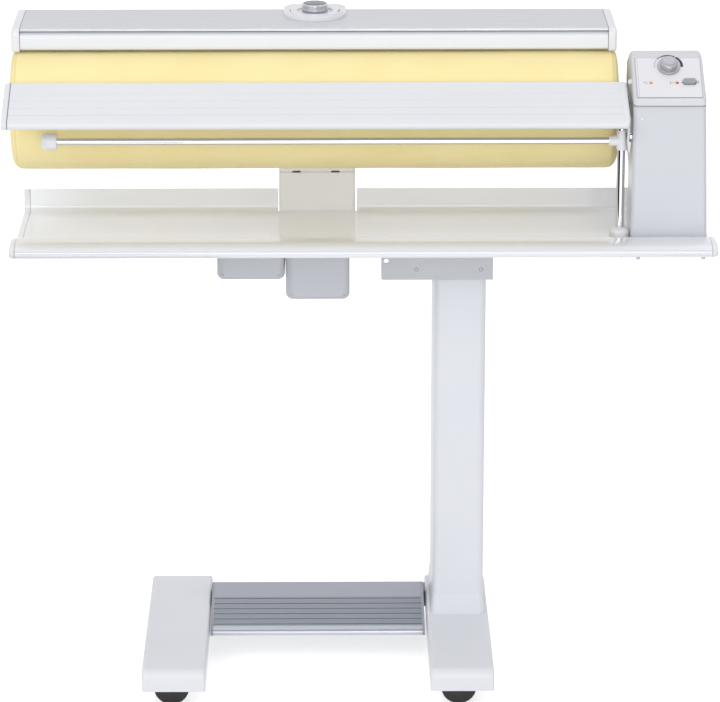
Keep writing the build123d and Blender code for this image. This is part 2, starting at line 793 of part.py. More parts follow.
def control_panel():
    """The inset panel, with openings for the knob's shaft, the lamps and the rocker."""
    plate = panel_block(panel_left, panel_right, panel_start, panel_end, -panel_thickness, 0)
    plate = fillet(plate.edges().filter_by(lambda e: abs(e.length - panel_thickness) < 0.01), 1.5)
    plate -= panel_rod(knob_x, knob_up, -5, 5, knob_shaft + running_clearance)
    for x in lamp_x:
        plate -= panel_rod(x, lamp_up, -5, 5, lamp_radius)
    plate -= extrude(panel_frame().offset(-5) * rocker_outline(rocker_room), 10)
    return plate


def lamps():
    """Two domed indicator lenses."""
    lenses = []
    for x in lamp_x:
        lens = panel_rod(x, lamp_up, -panel_thickness - 4, 0.8, lamp_radius)
        lenses.append(fillet(lens.edges().sort_by(Axis.Z)[-1], 0.7))
    return Compound(children=lenses)


def temperature_knob():
    """The domed temperature knob on its shaft."""
    skirt = panel_rod(knob_x, knob_up, part_gap, 4.0, knob_radius)
    grip = panel_rod(knob_x, knob_up, 4.0, knob_height, knob_radius - 3.4)
    skirt = fillet(skirt.edges().filter_by(GeomType.CIRCLE).sort_by(Axis.Z)[-1], 1.2)
    grip = fillet(grip.edges().filter_by(GeomType.CIRCLE).sort_by(Axis.Z)[-1], 5.5)
    shaft = panel_rod(knob_x, knob_up, -panel_thickness - 8, part_gap + 1, knob_shaft)
    return skirt + grip + shaft


def thermostat():
    """The temperature switch behind the panel, which takes the knob's shaft."""
    body = panel_rod(knob_x, knob_up, -30, -panel_thickness - 3, 14)
    body = fillet(body.edges().filter_by(GeomType.CIRCLE), 1.5)
    return body - panel_rod(knob_x, knob_up, -13, 0, knob_shaft + running_clearance)


def rocker_switch():
    """The rocker key on its pin, which runs up the slope behind the panel."""
    key = extrude(panel_frame().offset(-rocker_depth) * rocker_outline(), rocker_depth + rocker_height)
    half = rocker_width / 2 + 1.5
    axis = panel_frame().offset(-rocker_pin_depth)
    ends = Plane(origin=axis.from_local_coords((rocker_x, rocker_up - half, 0)), x_dir=(1, 0, 0),
                 z_dir=axis.y_dir)
    return key + extrude(ends * Circle(rocker_pin_radius), 2 * half)


# ---------------------------------------------------------------- drive
def bearing_frame():
    """The casting inside the housing that carries the roller's bearings."""
    right = bearing_left + 2 * bearing_width + bearing_space
    foot_y0 = housing_front + housing_wall + 17
    foot_y1 = housing_rear - housing_wall - 3
    web = outline((foot_y0, tray_floor, 0), (foot_y0, roller_z - 6, 12),
                  (roller_y, roller_z + bearing_outer, 0), (roller_y, roller_z - bearing_outer - 4, 0),
                  (foot_y1, roller_z - 58, 20), (foot_y1, tray_floor, 0))
    frame = along_x(web, bearing_left, bearing_left + frame_plate)
    frame += rod_x(bearing_left, right, roller_y, roller_z, bearing_outer + boss_wall)
    frame += block(bearing_left, right, foot_y0, foot_y1, tray_floor, tray_floor + 8)
    frame -= rod_x(bearing_left - 1, right + 1, roller_y, roller_z, bearing_outer)
    return frame


def roller_bearings():
    """Two ball bearings as plain rings, seated in the frame."""
    rings = []
    for i in range(2):
        x0 = bearing_left + i * (bearing_width + bearing_space)
        ring = rod_x(x0, x0 + bearing_width, roller_y, roller_z, bearing_outer)
        rings.append(ring - rod_x(x0 - 1, x0 + bearing_width + 1, roller_y, roller_z,
                                  shaft_radius + running_clearance))
    return Compound(children=rings)


def involute_point(base, radius):
    """Angle swept by an involute of a base circle when it reaches a radius."""
    ratio = max(radius / base, 1.0)
    roll = sqrt(ratio * ratio - 1)
    return roll - atan2(roll, 1)


def gear_face(teeth, first_tooth):
    """A spur gear in side view, with a tooth centred on the first_tooth angle in degrees."""
    pitch = gear_module * teeth / 2
    base = pitch * cos(radians(20))
    root, tip = pitch - 1.25 * gear_module, pitch + 0.95 * gear_module
    half_tooth = (pi * gear_module / 2 - gear_backlash) / 2 / pitch
    steps = [max(root, base) + (tip - max(root, base)) * i / 3 for i in range(4)]
    flank = [(r, half_tooth + involute_point(base, pitch) - involute_point(base, r)) for r in steps]
    points = []
    for tooth in range(teeth):
        middle = radians(first_tooth) + 2 * pi * tooth / teeth
        rise = ([(root, flank[0][1])] if root < base else []) + flank
        points += [(r * cos(middle - a), r * sin(middle - a)) for r, a in rise]
        points += [(r * cos(middle + a), r * sin(middle + a)) for r, a in reversed(rise)]
    return make_face(Polyline(*points, close=True))


def pinion_centre():
    """The pinion's axis, one centre distance from the roller's."""
    return on_roller(pinion_bearing_angle, gear_module * (roller_teeth + pinion_teeth) / 2)


def roller_gear():
    """The gear on the roller's shaft."""
    wheel = gear_face(roller_teeth, pinion_bearing_angle)
    wheel -= Circle(shaft_radius)
    for i in range(5):
        wheel -= Rot(0, 0, 72 * i) * Pos(33, 0) * Circle(9)
    return along_x(Pos(roller_y, roller_z) * wheel, gear_left, gear_left + gear_width)


def motor_pinion():
    """The small gear on the motor's output shaft, with a gap facing the large gear."""
    y, z = pinion_centre()
    wheel = gear_face(pinion_teeth, pinion_bearing_angle + 180 + 180 / pinion_teeth)
    face = Pos(y, z) * wheel
    pinion = along_x(face, gear_left, gear_left + gear_width)
    return pinion + rod_x(gear_left + gear_width, gear_left + gear_width + 14, y, z, pinion_bore)


def drive_motor():
    """The gear motor in the upright: gearbox at the pinion's height, motor below it."""
    y, z = pinion_centre()
    x0 = gear_left + gear_width + 2
    x1 = housing_right_top - housing_wall - 6
    y0 = housing_front + housing_wall + 4
    y1 = housing_rear - housing_wall - 2
    box = block(x0, x1, y0, y1, z - 26, z + 20)
    box -= rod_x(x0 - 1, x0 + 13, y, z, pinion_bore + running_clearance)
    middle_x, middle_y = (x0 + x1) / 2 - 5, (y0 + y1) / 2
    motor = rod_z(tray_floor + 16, z - 26, middle_x, middle_y, 26)
    foot = block(middle_x - 22, middle_x + 22, middle_y - 17, middle_y + 20, tray_floor, tray_floor + 16)
    return box + motor + foot


# ---------------------------------------------------------------- roller
def roller_span(inset=0.0):
    return roller_left + inset, roller_right - inset


def roller_tube():
    x0, x1 = roller_span(tube_inset)
    outer = roller_radius - cloth - padding - 2 * soft_gap
    tube = rod_x(x0, x1, roller_y, roller_z, outer)
    return tube - rod_x(x0 - 1, x1 + 1, roller_y, roller_z, outer - tube_wall)


def roller_discs():
    """The end discs that centre the tube on its shaft."""
    radius = roller_radius - cloth - padding - 2 * soft_gap - tube_wall
    discs = []
    x0, x1 = roller_span(tube_inset + disc_inset)
    for start in (x0, x1 - disc_thickness):
        disc = rod_x(start, start + disc_thickness, roller_y, roller_z, radius)
        disc += rod_x(start - 6, start + disc_thickness + 6, roller_y, roller_z, shaft_radius + 8)
        discs.append(disc - rod_x(start - 7, start + disc_thickness + 7, roller_y, roller_z, shaft_radius))
    return Compound(children=discs)


def roller_shaft():
    """The tubular shaft, from the far disc through the bearings and the gear."""
    x0 = roller_span(tube_inset + disc_inset - 6)[0]
    shaft = rod_x(x0, gear_left + gear_width, roller_y, roller_z, shaft_radius)
    shaft = chamfer(shaft.edges().filter_by(GeomType.CIRCLE), 1.5)
    return shaft - rod_x(x0 - 1, roller_right, roller_y, roller_z, shaft_bore)


def soft_sleeve(outer, thickness, inset):
    """A sleeve that turns in over the roller's ends."""
    x0, x1 = roller_span(inset)
    edge = roller_edge - inset
    sleeve = fillet(rod_x(x0, x1, roller_y, roller_z, outer).edges().filter_by(GeomType.CIRCLE), edge)
    core = rod_x(x0 + thickness, x1 - thickness, roller_y, roller_z, outer - thickness)
    core = fillet(core.edges().filter_by(GeomType.CIRCLE), max(edge - thickness, 2))
    return sleeve - core - rod_x(x0 - 1, x1 + 1, roller_y, roller_z, end_opening)


def roller_cloth():
    return soft_sleeve(roller_radius, cloth, 0)


def roller_padding():
    outer = roller_radius - cloth - soft_gap
    x0, x1 = roller_span(cloth + soft_gap)
    edge = roller_edge - cloth - soft_gap
    pad = fillet(rod_x(x0, x1, roller_y, roller_z, outer).edges().filter_by(GeomType.CIRCLE), edge)
    inner = outer - padding
    end_lap = tube_inset - cloth - 2 * soft_gap
    pad -= rod_x(x0 + end_lap, x1 - end_lap, roller_y, roller_z, inner)
    return pad - rod_x(x0 - 1, x1 + 1, roller_y, roller_z, end_opening + 4)


# ---------------------------------------------------------------- heated shoe
def shoe_silhouette():
    """Side view of the shoe's cover: flat top, round rear, hollow for the roller."""
    bend = shoe_bend_y + shoe_bend_radius
    low_y, low_z = on_roller(plate_rear_angle, roller_radius + plate_gap + plate_thickness)
    front_y, front_z = on_roller(plate_front_angle, roller_radius + plate_gap + plate_thickness)
    return outline(
        (guard_front - 0.5, guard_bottom - 1, 4), (guard_front - 0.5, shoe_top, guard_round),
        (bend, shoe_top, shoe_bend_radius),
        (bend, shoe_rear_foot, 10), (low_y + 8, low_z - 6, 4), (low_y - 6, low_z - 6, 0),
        (roller_y, roller_z, 0), (front_y, front_z - 8, 0))


def roller_room(extra):
    """A disc, in side view, that keeps clear of the roller."""
    return Pos(roller_y, roller_z) * Circle(roller_radius + extra)


def shoe_span():
    return shoe_left + shoe_cap, shoe_right - shoe_cap


def heater_plate():
    """The heated plate, curved to the roller."""
    inner = roller_radius + plate_gap
    face = ring_sector(inner, inner + plate_thickness, plate_rear_angle, plate_front_angle)
    return along_x(face, *shoe_span())


def element_place(angle):
    return on_roller(angle, roller_radius + plate_gap + plate_thickness + element_radius)


def heating_elements():
    """Rod elements clamped along the back of the plate, joined in pairs at the ends."""
    x0, x1 = shoe_span()
    x0, x1 = x0 + 30, x1 - 30
    loops = []
    for first, second in (element_angles[:2], element_angles[2:]):
        ends = [element_place(first), element_place(second)]
        rods = [rod_x(x0, x1, y, z, element_radius) for y, z in ends]
        (ya, za), (yb, zb) = ends
        reach = sqrt((yb - ya) ** 2 + (zb - za) ** 2)
        turn = degrees(atan2(zb - za, yb - ya))
        link = rod_y(-reach / 2, reach / 2, 0, 0, element_radius - 0.5)
        middle = Pos(x0 + 5, *element_place((first + second) / 2)) * Rot(turn, 0, 0) * link
        loops.append(rods[0] + rods[1] + middle)
    return Compound(children=loops)


def shoe_top_plate():
    """The flat anodised top of the shoe, turned down along its front."""
    face = outline((shoe_top_front, shoe_top - shoe_lip, 0), (shoe_top_front, shoe_top, 1.6),
                   (shoe_bend_y, shoe_top, 0), (shoe_bend_y, shoe_top - shoe_sheet, 0),
                   (shoe_top_front + shoe_sheet, shoe_top - shoe_sheet, 0),
                   (shoe_top_front + shoe_sheet, shoe_top - shoe_lip, 0))
    plate = along_x(face, *shoe_span())
    return plate - rod_z(shoe_top - 9, shoe_top + 9, dial_x, dial_y, pressure_stem + running_clearance)


def shoe_cover():
    """The rear cover, from the top plate round the back to the heated plate's lower edge."""
    skin = shoe_silhouette() - offset(shoe_silhouette(), amount=-shoe_sheet)
    behind = Pos(shoe_bend_y + far / 2, shoe_top) * Rectangle(far, far)
    under = Pos(roller_y + 60 + far / 2, shoe_rear_foot + 20 - far / 2) * Rectangle(far, far)
    face = (skin & behind) + (skin & under)
    face -= roller_room(plate_gap + plate_thickness + 0.4)
    return along_x(face, *shoe_span()) - arm_entry()


def arm_entry():
    """The opening in the shoe's underside for the lift arm and its cover."""
    return block(arm_left - part_gap, arm_right + part_gap, arm_front - part_gap,
                 arm_front + arm_depth + part_gap, arm_bottom, shoe_rear_foot + 6)


def shoe_caps():
    """The two moulded ends of the shoe."""
    face = shoe_silhouette() - roller_room(plate_gap + 0.8)
    pin_y, pin_z = guard_axis()
    caps = []
    for x0, outer, hole in ((shoe_left, shoe_left, shoe_left + shoe_cap - 5),
                            (shoe_right - shoe_cap, shoe_right, shoe_right - shoe_cap - 1)):
        cap = along_x(face, x0, x0 + shoe_cap)
        rims = [edge for edge in at_x(cap, outer) if edge.center().Z > guard_bottom - 5
                and edge.center().Y < shoe_bend_y + shoe_bend_radius + 1
                and not on_bore(edge)]
        cap = fillet(rims, shoe_rim)
        caps.append(cap - rod_x(hole, hole + 6, pin_y, pin_z, guard_pin_radius + running_clearance))
    return Compound(children=caps)


def on_bore(edge):
    """True for an edge on the round opening that an end cap leaves for the roller."""
    middle = edge.center()
    reach = sqrt((middle.Y - roller_y) ** 2 + (middle.Z - roller_z) ** 2)
    return reach < roller_radius + plate_gap + 2


def guard_axis():
    """The (y, z) of the pins that the finger guard swings on."""
    return guard_front + 8.0, guard_bottom + guard_height - 3.2


def finger_guard():
    """The sprung front strip of the shoe, hung on pins in the end caps."""
    top = guard_bottom + guard_height
    pin_y, pin_z = guard_axis()
    inner = guard_front + guard_thickness
    face = outline(
        (guard_front, guard_bottom, 4), (guard_front, top, guard_round),
        (pin_y + 2.5, top, 0), (pin_y + 2.5, top - guard_thickness, 0),
        (inner, top - guard_thickness, guard_round - guard_thickness),
        (inner, guard_bottom + 2.2, 1.2), (guard_front + 5.5, guard_bottom + 2.2, 0),
        (guard_front + 5.5, guard_bottom, 0))
    face += Pos(pin_y, pin_z) * Circle(guard_pin_radius + 1.4)
    x0, x1 = shoe_span()
    strip = along_x(face, x0 + 0.4, x1 - 0.4)
    for start in (x0 - 4, x1 - 1):
        strip += rod_x(start, start + 5, pin_y, pin_z, guard_pin_radius)
    return strip


# ---------------------------------------------------------------- pressure dial
def dial_face(radius):
    """D-shaped plan: half round in front, straight behind."""
    depth = dial_rear - dial_y
    return Pos(dial_x, dial_y) * (Circle(radius) & (Pos(0, -radius) * Rectangle(2 * radius, 2 * radius))
                                  ) + Pos(dial_x, dial_y + depth / 2) * Rectangle(2 * radius, depth)


def dial_console():
    """The stepped dial plate on the shoe's top, with a recess for the knob."""
    low = shoe_top - 24
    console = along_z(dial_face(dial_radius), low, dial_top - 2 * dial_step)
    console += along_z(dial_face(dial_radius - 4), low, dial_top - dial_step)
    console += along_z(dial_face(dial_radius - 8), low, dial_top)
    console -= rod_z(dial_top - 2.0, dial_top + 5, dial_x, dial_y, dial_ring)
    console -= rod_z(low - 1, dial_top + 5, dial_x, dial_y, pressure_stem + running_clearance)
    return console - along_x(shoe_silhouette(), shoe_left, shoe_right)


def pressure_knob():
    """The pressure regulator's knob and stem."""
    base = dial_top - 2.0 + seat_clearance
    knob = rod_z(base, pressure_knob_top, dial_x, dial_y, pressure_knob_radius)
    knob = fillet(knob.edges().filter_by(GeomType.CIRCLE).sort_by(Axis.Z)[-1], 1.6)
    knob -= rod_z(pressure_knob_top - 1.0, pressure_knob_top + 1, dial_x, dial_y, pressure_knob_radius - 3)
    return knob + rod_z(shoe_top - 14, base + 1, dial_x, dial_y, pressure_stem)


# ---------------------------------------------------------------- lift arm
def lift_arm():
    """Two lever plates from the lift pin up behind the roller to the heated plate."""
    seat = roller_radius + plate_gap + plate_thickness
    lower_rear = arm_front + arm_depth - arm_wall - 2
    upper_rear = shoe_bend_y + shoe_bend_radius - shoe_sheet - 3
    side = outline(
        (lift_y - lift_boss, lift_z, 0), (lift_y, lift_z - lift_boss, 0),
        (lower_rear, lift_z - lift_boss, 10), (lower_rear, shoe_rear_foot - 40, 20),
        (upper_rear, shoe_rear_foot - 10, 20), (upper_rear, shoe_top - 44, 20),
        (roller_y + 60, shoe_top - 12, 6),
        (roller_y + 18, shoe_top - 12, 4), (roller_y + 18, roller_z + seat - 8, 0),
        (roller_y + 60, roller_z, 0), (arm_front + 6, shoe_rear_foot - 14, 8),
        (arm_front + 6, tray_floor - 4, 8), (lift_y, lift_z + lift_boss, 0))
    side += Pos(lift_y, lift_z) * Circle(lift_boss)
    side -= Pos(lift_y, lift_z) * Circle(lift_pin_radius + running_clearance)
    side -= Pos(roller_y, roller_z) * Circle(seat)
    for angle in element_angles:
        side -= Pos(*element_place(angle)) * Circle(element_radius + 0.4)
    arm = along_x(side, arm_plates_x[0], arm_plates_x[0] + arm_plate)
    arm += along_x(side, arm_plates_x[1], arm_plates_x[1] + arm_plate)
    tie = rod_x(arm_left + arm_wall, arm_right - arm_wall, arm_front + 15, tray_floor + 60, 8)
    upper_tie = rod_x(arm_plates_x[0] + 1, arm_plates_x[1] + 1, arm_front + 14, roller_z + 10, 9)
    return arm + tie + upper_tie


def arm_cover():
    """The moulded sleeve round the lift arm, with two slots below the roller."""
    x = (arm_left + arm_right) / 2
    y = arm_front + arm_depth / 2
    width = arm_right - arm_left
    outer = Pos(x, y) * RectangleRounded(width, arm_depth, arm_corner)
    inner = Pos(x, y) * RectangleRounded(width - 2 * arm_wall, arm_depth - 2 * arm_wall,
                                         arm_corner - arm_wall)
    sleeve = along_z(outer - inner, arm_bottom, shoe_rear_foot - 24)
    for centre in (x - 0.27 * width, x + 0.24 * width):
        sleeve -= block(centre - arm_slot_width / 2, centre + arm_slot_width / 2, arm_front - 1,
                        arm_front + arm_wall + 1, arm_slot_z - 1.6, arm_slot_z + 1.6)
    return sleeve


# ---------------------------------------------------------------- feeding board
def board_slope():
    return atan2(board_rear_z - board_front_z - board_nose, board_rear - board_front - board_nose)


def board_outline():
    """Side view of the feeding board: round front, rear edge cut back to clear the roller."""
    nose_y = board_front + board_nose
    lean = board_slope()
    drop_y, drop_z = board_thickness * sin(lean), board_thickness * cos(lean)
    tip_y, tip_z = nose_y - board_nose * sin(lean), board_front_z + board_nose * cos(lean)
    face = outline(
        (tip_y, tip_z, 0), (board_rear, board_rear_z, 1.2),
        (board_rear - 5.5, board_rear_z - 8, 1.2), (board_rear - 12, board_rear_z - drop_z - 6, 0),
        (tip_y + drop_y + 2, tip_z - drop_z - 1, 0))
    return face + Pos(nose_y, board_front_z) * Circle(board_nose)


def board_face():
    """The board's extruded section: hollow, with a web inside and shallow grooves on its face."""
    tilt = Rot(0, 0, degrees(board_slope()))
    hollow = offset(board_outline(), amount=-board_wall)
    hollow -= on_board(board_web) * tilt * Rectangle(board_wall, 4 * board_thickness)
    face = board_outline() - hollow
    for i in range(board_groove_count):
        place = on_board(board_groove_start + i * board_groove_pitch)
        face -= place * tilt * Rectangle(board_groove_width, 2 * board_groove_depth)
    return face


def on_board(run):
    """A place in side view on the board's face, so far up its slope from the nose."""
    lean = board_slope()
    return Pos(board_front + board_nose - board_nose * sin(lean) + run * cos(lean),
               board_front_z + board_nose * cos(lean) + run * sin(lean))


def feeding_board():
    return along_x(board_face(), board_left + board_cap, board_right - board_cap)


def board_caps():
    """The board's moulded ends; the right one carries the hinge ear."""
    left = along_x(board_outline(), board_left, board_left + board_cap)
    left = round_ends(left, (board_left,), board_rim)
    right = along_x(board_outline(), board_right - board_cap, board_right)
    right = round_ends(right, (board_right,), board_rim)
    bottom = board_pivot_z - stud_radius - 1
    ear = outline(
        (board_rear - 22, board_rear_z - 18, 3), (board_pivot_y + 7, board_pivot_z, 0),
        (board_pivot_y + 7, bottom, 0), (board_pivot_y - 7, bottom, 0),
        (board_pivot_y - 7, board_pivot_z, 0), (board_front + 20, board_front_z + 4, 3))
    ear -= Pos(board_pivot_y, board_pivot_z) * Circle(board_pin_radius + running_clearance)
    right += along_x(ear, ear_left, ear_left + ear_thickness)
    tip = ear_left + tongue_width / 2
    tongue = outline((ear_left, bottom, 0), (ear_left + tongue_width, bottom, 0),
                     (tip + 0.5, tongue_bottom, 0), (tip - 0.5, tongue_bottom, 0))
    right += along_y(tongue, board_pivot_y - 7, board_pivot_y + 7)
    return Compound(children=[left, right])


def board_screw():
    """The chrome stud in the housing's side that the board's ear turns on."""
    collar = ear_left + ear_thickness + seat_clearance
    stud = rod_x(collar, housing_left, board_pivot_y, board_pivot_z, stud_radius)
    stud = chamfer(stud.edges().filter_by(GeomType.CIRCLE), 0.6)
    return stud + rod_x(ear_left, housing_left + housing_wall, board_pivot_y, board_pivot_z,
                        board_pin_radius)


# ---------------------------------------------------------------- laundry bar
def laundry_bar():
    """The chrome bar and its upright post."""
    bar = rod_x(bar_left, post_x - tee_width / 2 + 2, post_y, bar_z, bar_radius)
    post = rod_z(dome_top - dome_socket, post_top, post_x, post_y, post_radius)
    post = chamfer(post.edges().filter_by(GeomType.CIRCLE), 1)
    return Compound(children=[bar, post])


def bar_fittings():
    """The rounded knob on the bar's free end and the tee on the post."""
    ball = rod_x(bar_left - ball_radius, bar_left + ball_right, post_y, bar_z, ball_radius)
    ball = fillet(at_x(ball, bar_left - ball_radius), ball_round)
    ball = fillet(at_x(ball, bar_left + ball_right), 1.2)
    ball -= rod_x(bar_left, bar_left + 20, post_y, bar_z, bar_radius + running_clearance)
    half = tee_width / 2
    tee = rod_z(bar_z - tee_height / 2 + 1, bar_z + tee_height / 2 + 1, post_x, post_y, half)
    tee = fillet(tee.edges().filter_by(GeomType.CIRCLE), 2.2)
    tee += rod_x(post_x - half - tee_sleeve, post_x, post_y, bar_z, bar_radius + 2.4)
    tee -= rod_z(bar_z - tee_height, bar_z + tee_height, post_x, post_y, post_radius + running_clearance)
    tee -= rod_x(post_x - half - tee_sleeve - 1, post_x - half + 2, post_y, bar_z,
                 bar_radius + running_clearance)
    return Compound(children=[ball, tee])


def post_foot():
    """The domed socket on the tray that the post turns in."""
    height = dome_top - tray_floor
    dome = rod_z(tray_floor, dome_top, post_x, post_y, dome_radius)
    rim = dome.edges().filter_by(GeomType.CIRCLE).sort_by(Axis.Z)[-1]
    dome = fillet(rim, dome_radius - post_radius - 0.6)
    dome -= rod_z(dome_top - dome_socket - 0.5, dome_top + 1, post_x, post_y,
                  post_radius + running_clearance)
    return dome - tray_step()


# ---------------------------------------------------------------- fasteners
def tray_screws():
    """Screws up through the tray's floor into the post's foot and the housing."""
    screws = []
    under = tray_floor - tray_wall
    for x, y in ((post_x, post_y + 4), (housing_left + 12, -57), (housing_right_foot - 8, -57)):
        washer = rod_z(under - 1.5, under, x, y, 6)
        screws.append(washer + rod_z(under - 7, under - 1.5, x, y, 4.2))
    return Compound(children=screws)


# ---------------------------------------------------------------- write the parts
def nodes():
    """Every piece by name."""
    pieces = {
        "left_foot": foot(left_foot_x),
        "right_foot": foot(right_foot_x),
        "crossbar": crossbar(),
        "column": column(),
        "tilt_bracket": tilt_bracket(),
        "stand_pins": stand_pins(),
        "pedal_switch": pedal_switch(),
        "pedal_tread": pedal_tread(),
        "pedal_end_caps": pedal_caps(),
        "tray": tray(),
        "tray_end_caps": tray_caps(),
        "chassis": chassis(),
        "lift_pin": lift_pin(),
        "left_press_box": press_box(left_box_left, left_box_right, left_box_bottom),
        "right_press_box": press_box(right_box_left, right_box_right, right_box_bottom),
        "press_motor": press_motor(),
        "control_panel": control_panel(),
        "indicator_lamps": lamps(),
        "temperature_knob": temperature_knob(),
        "thermostat": thermostat(),
        "rocker_switch": rocker_switch(),
        "bearing_frame": bearing_frame(),
        "roller_bearings": roller_bearings(),
        "drive_motor": drive_motor(),
        "motor_pinion": motor_pinion(),
        "roller_gear": roller_gear(),
        "roller_tube": roller_tube(),
        "roller_end_discs": roller_discs(),
        "roller_shaft": roller_shaft(),
        "roller_padding": roller_padding(),
        "roller_cloth": roller_cloth(),
        "heater_plate": heater_plate(),
        "heating_elements": heating_elements(),
        "heater_top_plate": shoe_top_plate(),
        "heater_cover": shoe_cover(),
        "heater_end_caps": shoe_caps(),
        "finger_guard": finger_guard(),
        "dial_console": dial_console(),
        "pressure_knob": pressure_knob(),
        "lift_arm": lift_arm(),
        "arm_cover": arm_cover(),
        "feeding_board": feeding_board(),
        "board_end_caps": board_caps(),
        "board_screw": board_screw(),
        "laundry_bar": laundry_bar(),
        "bar_fittings": bar_fittings(),
        "post_foot": post_foot(),
        "tray_screws": tray_screws(),
    }
    shell = housing_block() - housing_cavity()
    pieces["housing_body"] = housing_body(shell)
    pieces["control_head"] = control_head(shell)
    for side, foot_x in (("left", left_foot_x), ("right", right_foot_x)):
        for end, y in (("front", -caster_y), ("rear", caster_y)):
            x = foot_x + caster_offset
            pieces[f"{end}_{side}_caster_hood"] = caster_hood(x, y)
            pieces[f"{end}_{side}_caster_wheels"] = caster_wheels(x, y)
    return pieces


def main():
    os.makedirs("parts", exist_ok=True)
    for name, piece in nodes().items():
        export_step(piece, os.path.join("parts", name + ".step"))


main()
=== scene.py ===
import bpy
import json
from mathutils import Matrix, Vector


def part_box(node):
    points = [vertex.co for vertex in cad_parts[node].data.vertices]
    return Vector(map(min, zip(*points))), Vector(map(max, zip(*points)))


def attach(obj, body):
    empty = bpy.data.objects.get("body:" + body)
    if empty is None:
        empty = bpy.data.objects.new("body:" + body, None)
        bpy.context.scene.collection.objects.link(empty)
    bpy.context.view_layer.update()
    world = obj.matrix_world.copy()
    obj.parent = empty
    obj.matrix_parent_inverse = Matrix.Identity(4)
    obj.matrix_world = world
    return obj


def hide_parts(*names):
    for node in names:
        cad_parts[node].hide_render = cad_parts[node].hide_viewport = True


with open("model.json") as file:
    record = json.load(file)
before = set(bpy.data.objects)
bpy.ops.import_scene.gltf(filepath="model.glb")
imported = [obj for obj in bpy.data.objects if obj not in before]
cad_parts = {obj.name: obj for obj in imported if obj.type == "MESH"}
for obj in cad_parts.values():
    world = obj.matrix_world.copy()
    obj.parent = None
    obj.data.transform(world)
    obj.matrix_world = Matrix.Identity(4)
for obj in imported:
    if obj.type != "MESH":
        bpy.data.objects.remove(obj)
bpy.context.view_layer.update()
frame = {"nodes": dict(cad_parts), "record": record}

# %% [markdown]
# A roller ironer for flat laundry, dressed for a photograph. The rigid parts come from the packed
# model, and this script gives them finishes, sews the roller's soft cover, and adds what a solid
# model leaves out: prints, screws, seams and inlays. Everything is in metres, with X to the right,
# -Y to the front and Z up, standing on Z = 0.

# %% The tools, and the camera
import json
from math import atan2, copysign, cos, degrees, hypot, pi, radians, sin

import bmesh
import bpy
from mathutils import Matrix, Vector
from mathutils.bvhtree import BVHTree

MM = 0.001
nodes = frame["nodes"]

camera_place = (-0.0434, -4.965, 2.0896)
camera_pitch = radians(18.0)       # below level
camera_turn = radians(0.5)         # towards the right
focal_px = 3661.0                  # focal length in pixels of the 720-pixel-wide frame
frame_px = 720.0


def show(name, data):
    """A new object in the scene."""
    thing = bpy.data.objects.new(name, data)
    bpy.context.scene.collection.objects.link(thing)
    return thing


camera_data = bpy.data.cameras.new("studio_camera")
camera_data.sensor_width = 36.0
camera_data.lens = focal_px / frame_px * camera_data.sensor_width
camera = show("studio_camera", camera_data)
camera.location = camera_place
camera.rotation_euler = (pi / 2 - camera_pitch, 0.0, -camera_turn)
bpy.context.scene.camera = camera
bpy.context.scene.view_settings.view_transform = "Standard"
print("camera lens", round(camera_data.lens, 2), "mm")


# %% [markdown]
# Colours are written as the hex values that a paint chart or a screen would give. Blender mixes
# light in linear values, so one function turns each hex value before it reaches a shader.

# %% Colours and a node helper
def linear(hex_code):
    """The linear RGBA of an sRGB hex colour."""
    parts = [int(hex_code[i:i + 2], 16) / 255 for i in (1, 3, 5)]
    return [c / 12.92 if c <= 0.04045 else ((c + 0.055) / 1.055) ** 2.4 for c in parts] + [1.0]


def add(tree, kind, links=None, **settings):
    """Adds a node. links gives its inputs as sockets or plain values, settings its properties."""
    node = tree.nodes.new(kind)
    for name, value in settings.items():
        setattr(node, name, value)
    for key, value in (links or {}).items():
        socket = node.inputs[key]
        if isinstance(value, bpy.types.NodeSocket):
            tree.links.new(value, socket)
        else:
            socket.default_value = value
    return node


def new_material(name, base, roughness, metallic=0.0, levels=None):
    """A material with a Principled shader, and levels for more of the shader's inputs."""
    material = bpy.data.materials.new(name)
    material.use_nodes = True
    tree = material.node_tree
    shader = tree.nodes["Principled BSDF"]
    settings = {"Base Color": linear(base), "Roughness": roughness, "Metallic": metallic}
    for key, value in (settings | (levels or {})).items():
        shader.inputs[key].default_value = value
    return material, tree, shader


def place_of(tree, stretch=(1.0, 1.0, 1.0), centre=(0.0, 0.0, 0.0), turn=(0.0, 0.0, 0.0)):
    """The point on the piece, in metres, turned about a centre and with each axis stretched."""
    point = add(tree, "ShaderNodeTexCoord").outputs["Object"]
    away = add(tree, "ShaderNodeVectorMath", {0: point, 1: centre}, operation="SUBTRACT")
    return add(tree, "ShaderNodeMapping", {"Vector": away.outputs["Vector"], "Rotation": turn,
                                           "Scale": stretch}).outputs["Vector"]


def axes_of(tree, point):
    """The three parts of a point."""
    parts = add(tree, "ShaderNodeSeparateXYZ", {"Vector": point})
    return parts.outputs["X"], parts.outputs["Y"], parts.outputs["Z"]


def grain(tree, size, stretch=(1.0, 1.0, 1.0), detail=2.0):
    """Noise whose blotches are about size metres across."""
    return add(tree, "ShaderNodeTexNoise", {"Vector": place_of(tree, stretch), "Scale": 1 / size,
                                            "Detail": detail, "Roughness": 0.5}).outputs["Fac"]


def colour_mix(tree, factor, first, second):
    """Mixes two colours, each a hex code or a socket, by a factor socket or number."""
    first, second = (linear(colour) if isinstance(colour, str) else colour for colour in (first, second))
    return add(tree, "ShaderNodeMix", {0: factor, 6: first, 7: second}, data_type="RGBA").outputs[2]


def maths(tree, operation, first, second=0.0, third=0.0):
    """One arithmetic step on sockets or numbers."""
    return add(tree, "ShaderNodeMath", {0: first, 1: second, 2: third}, operation=operation).outputs[0]


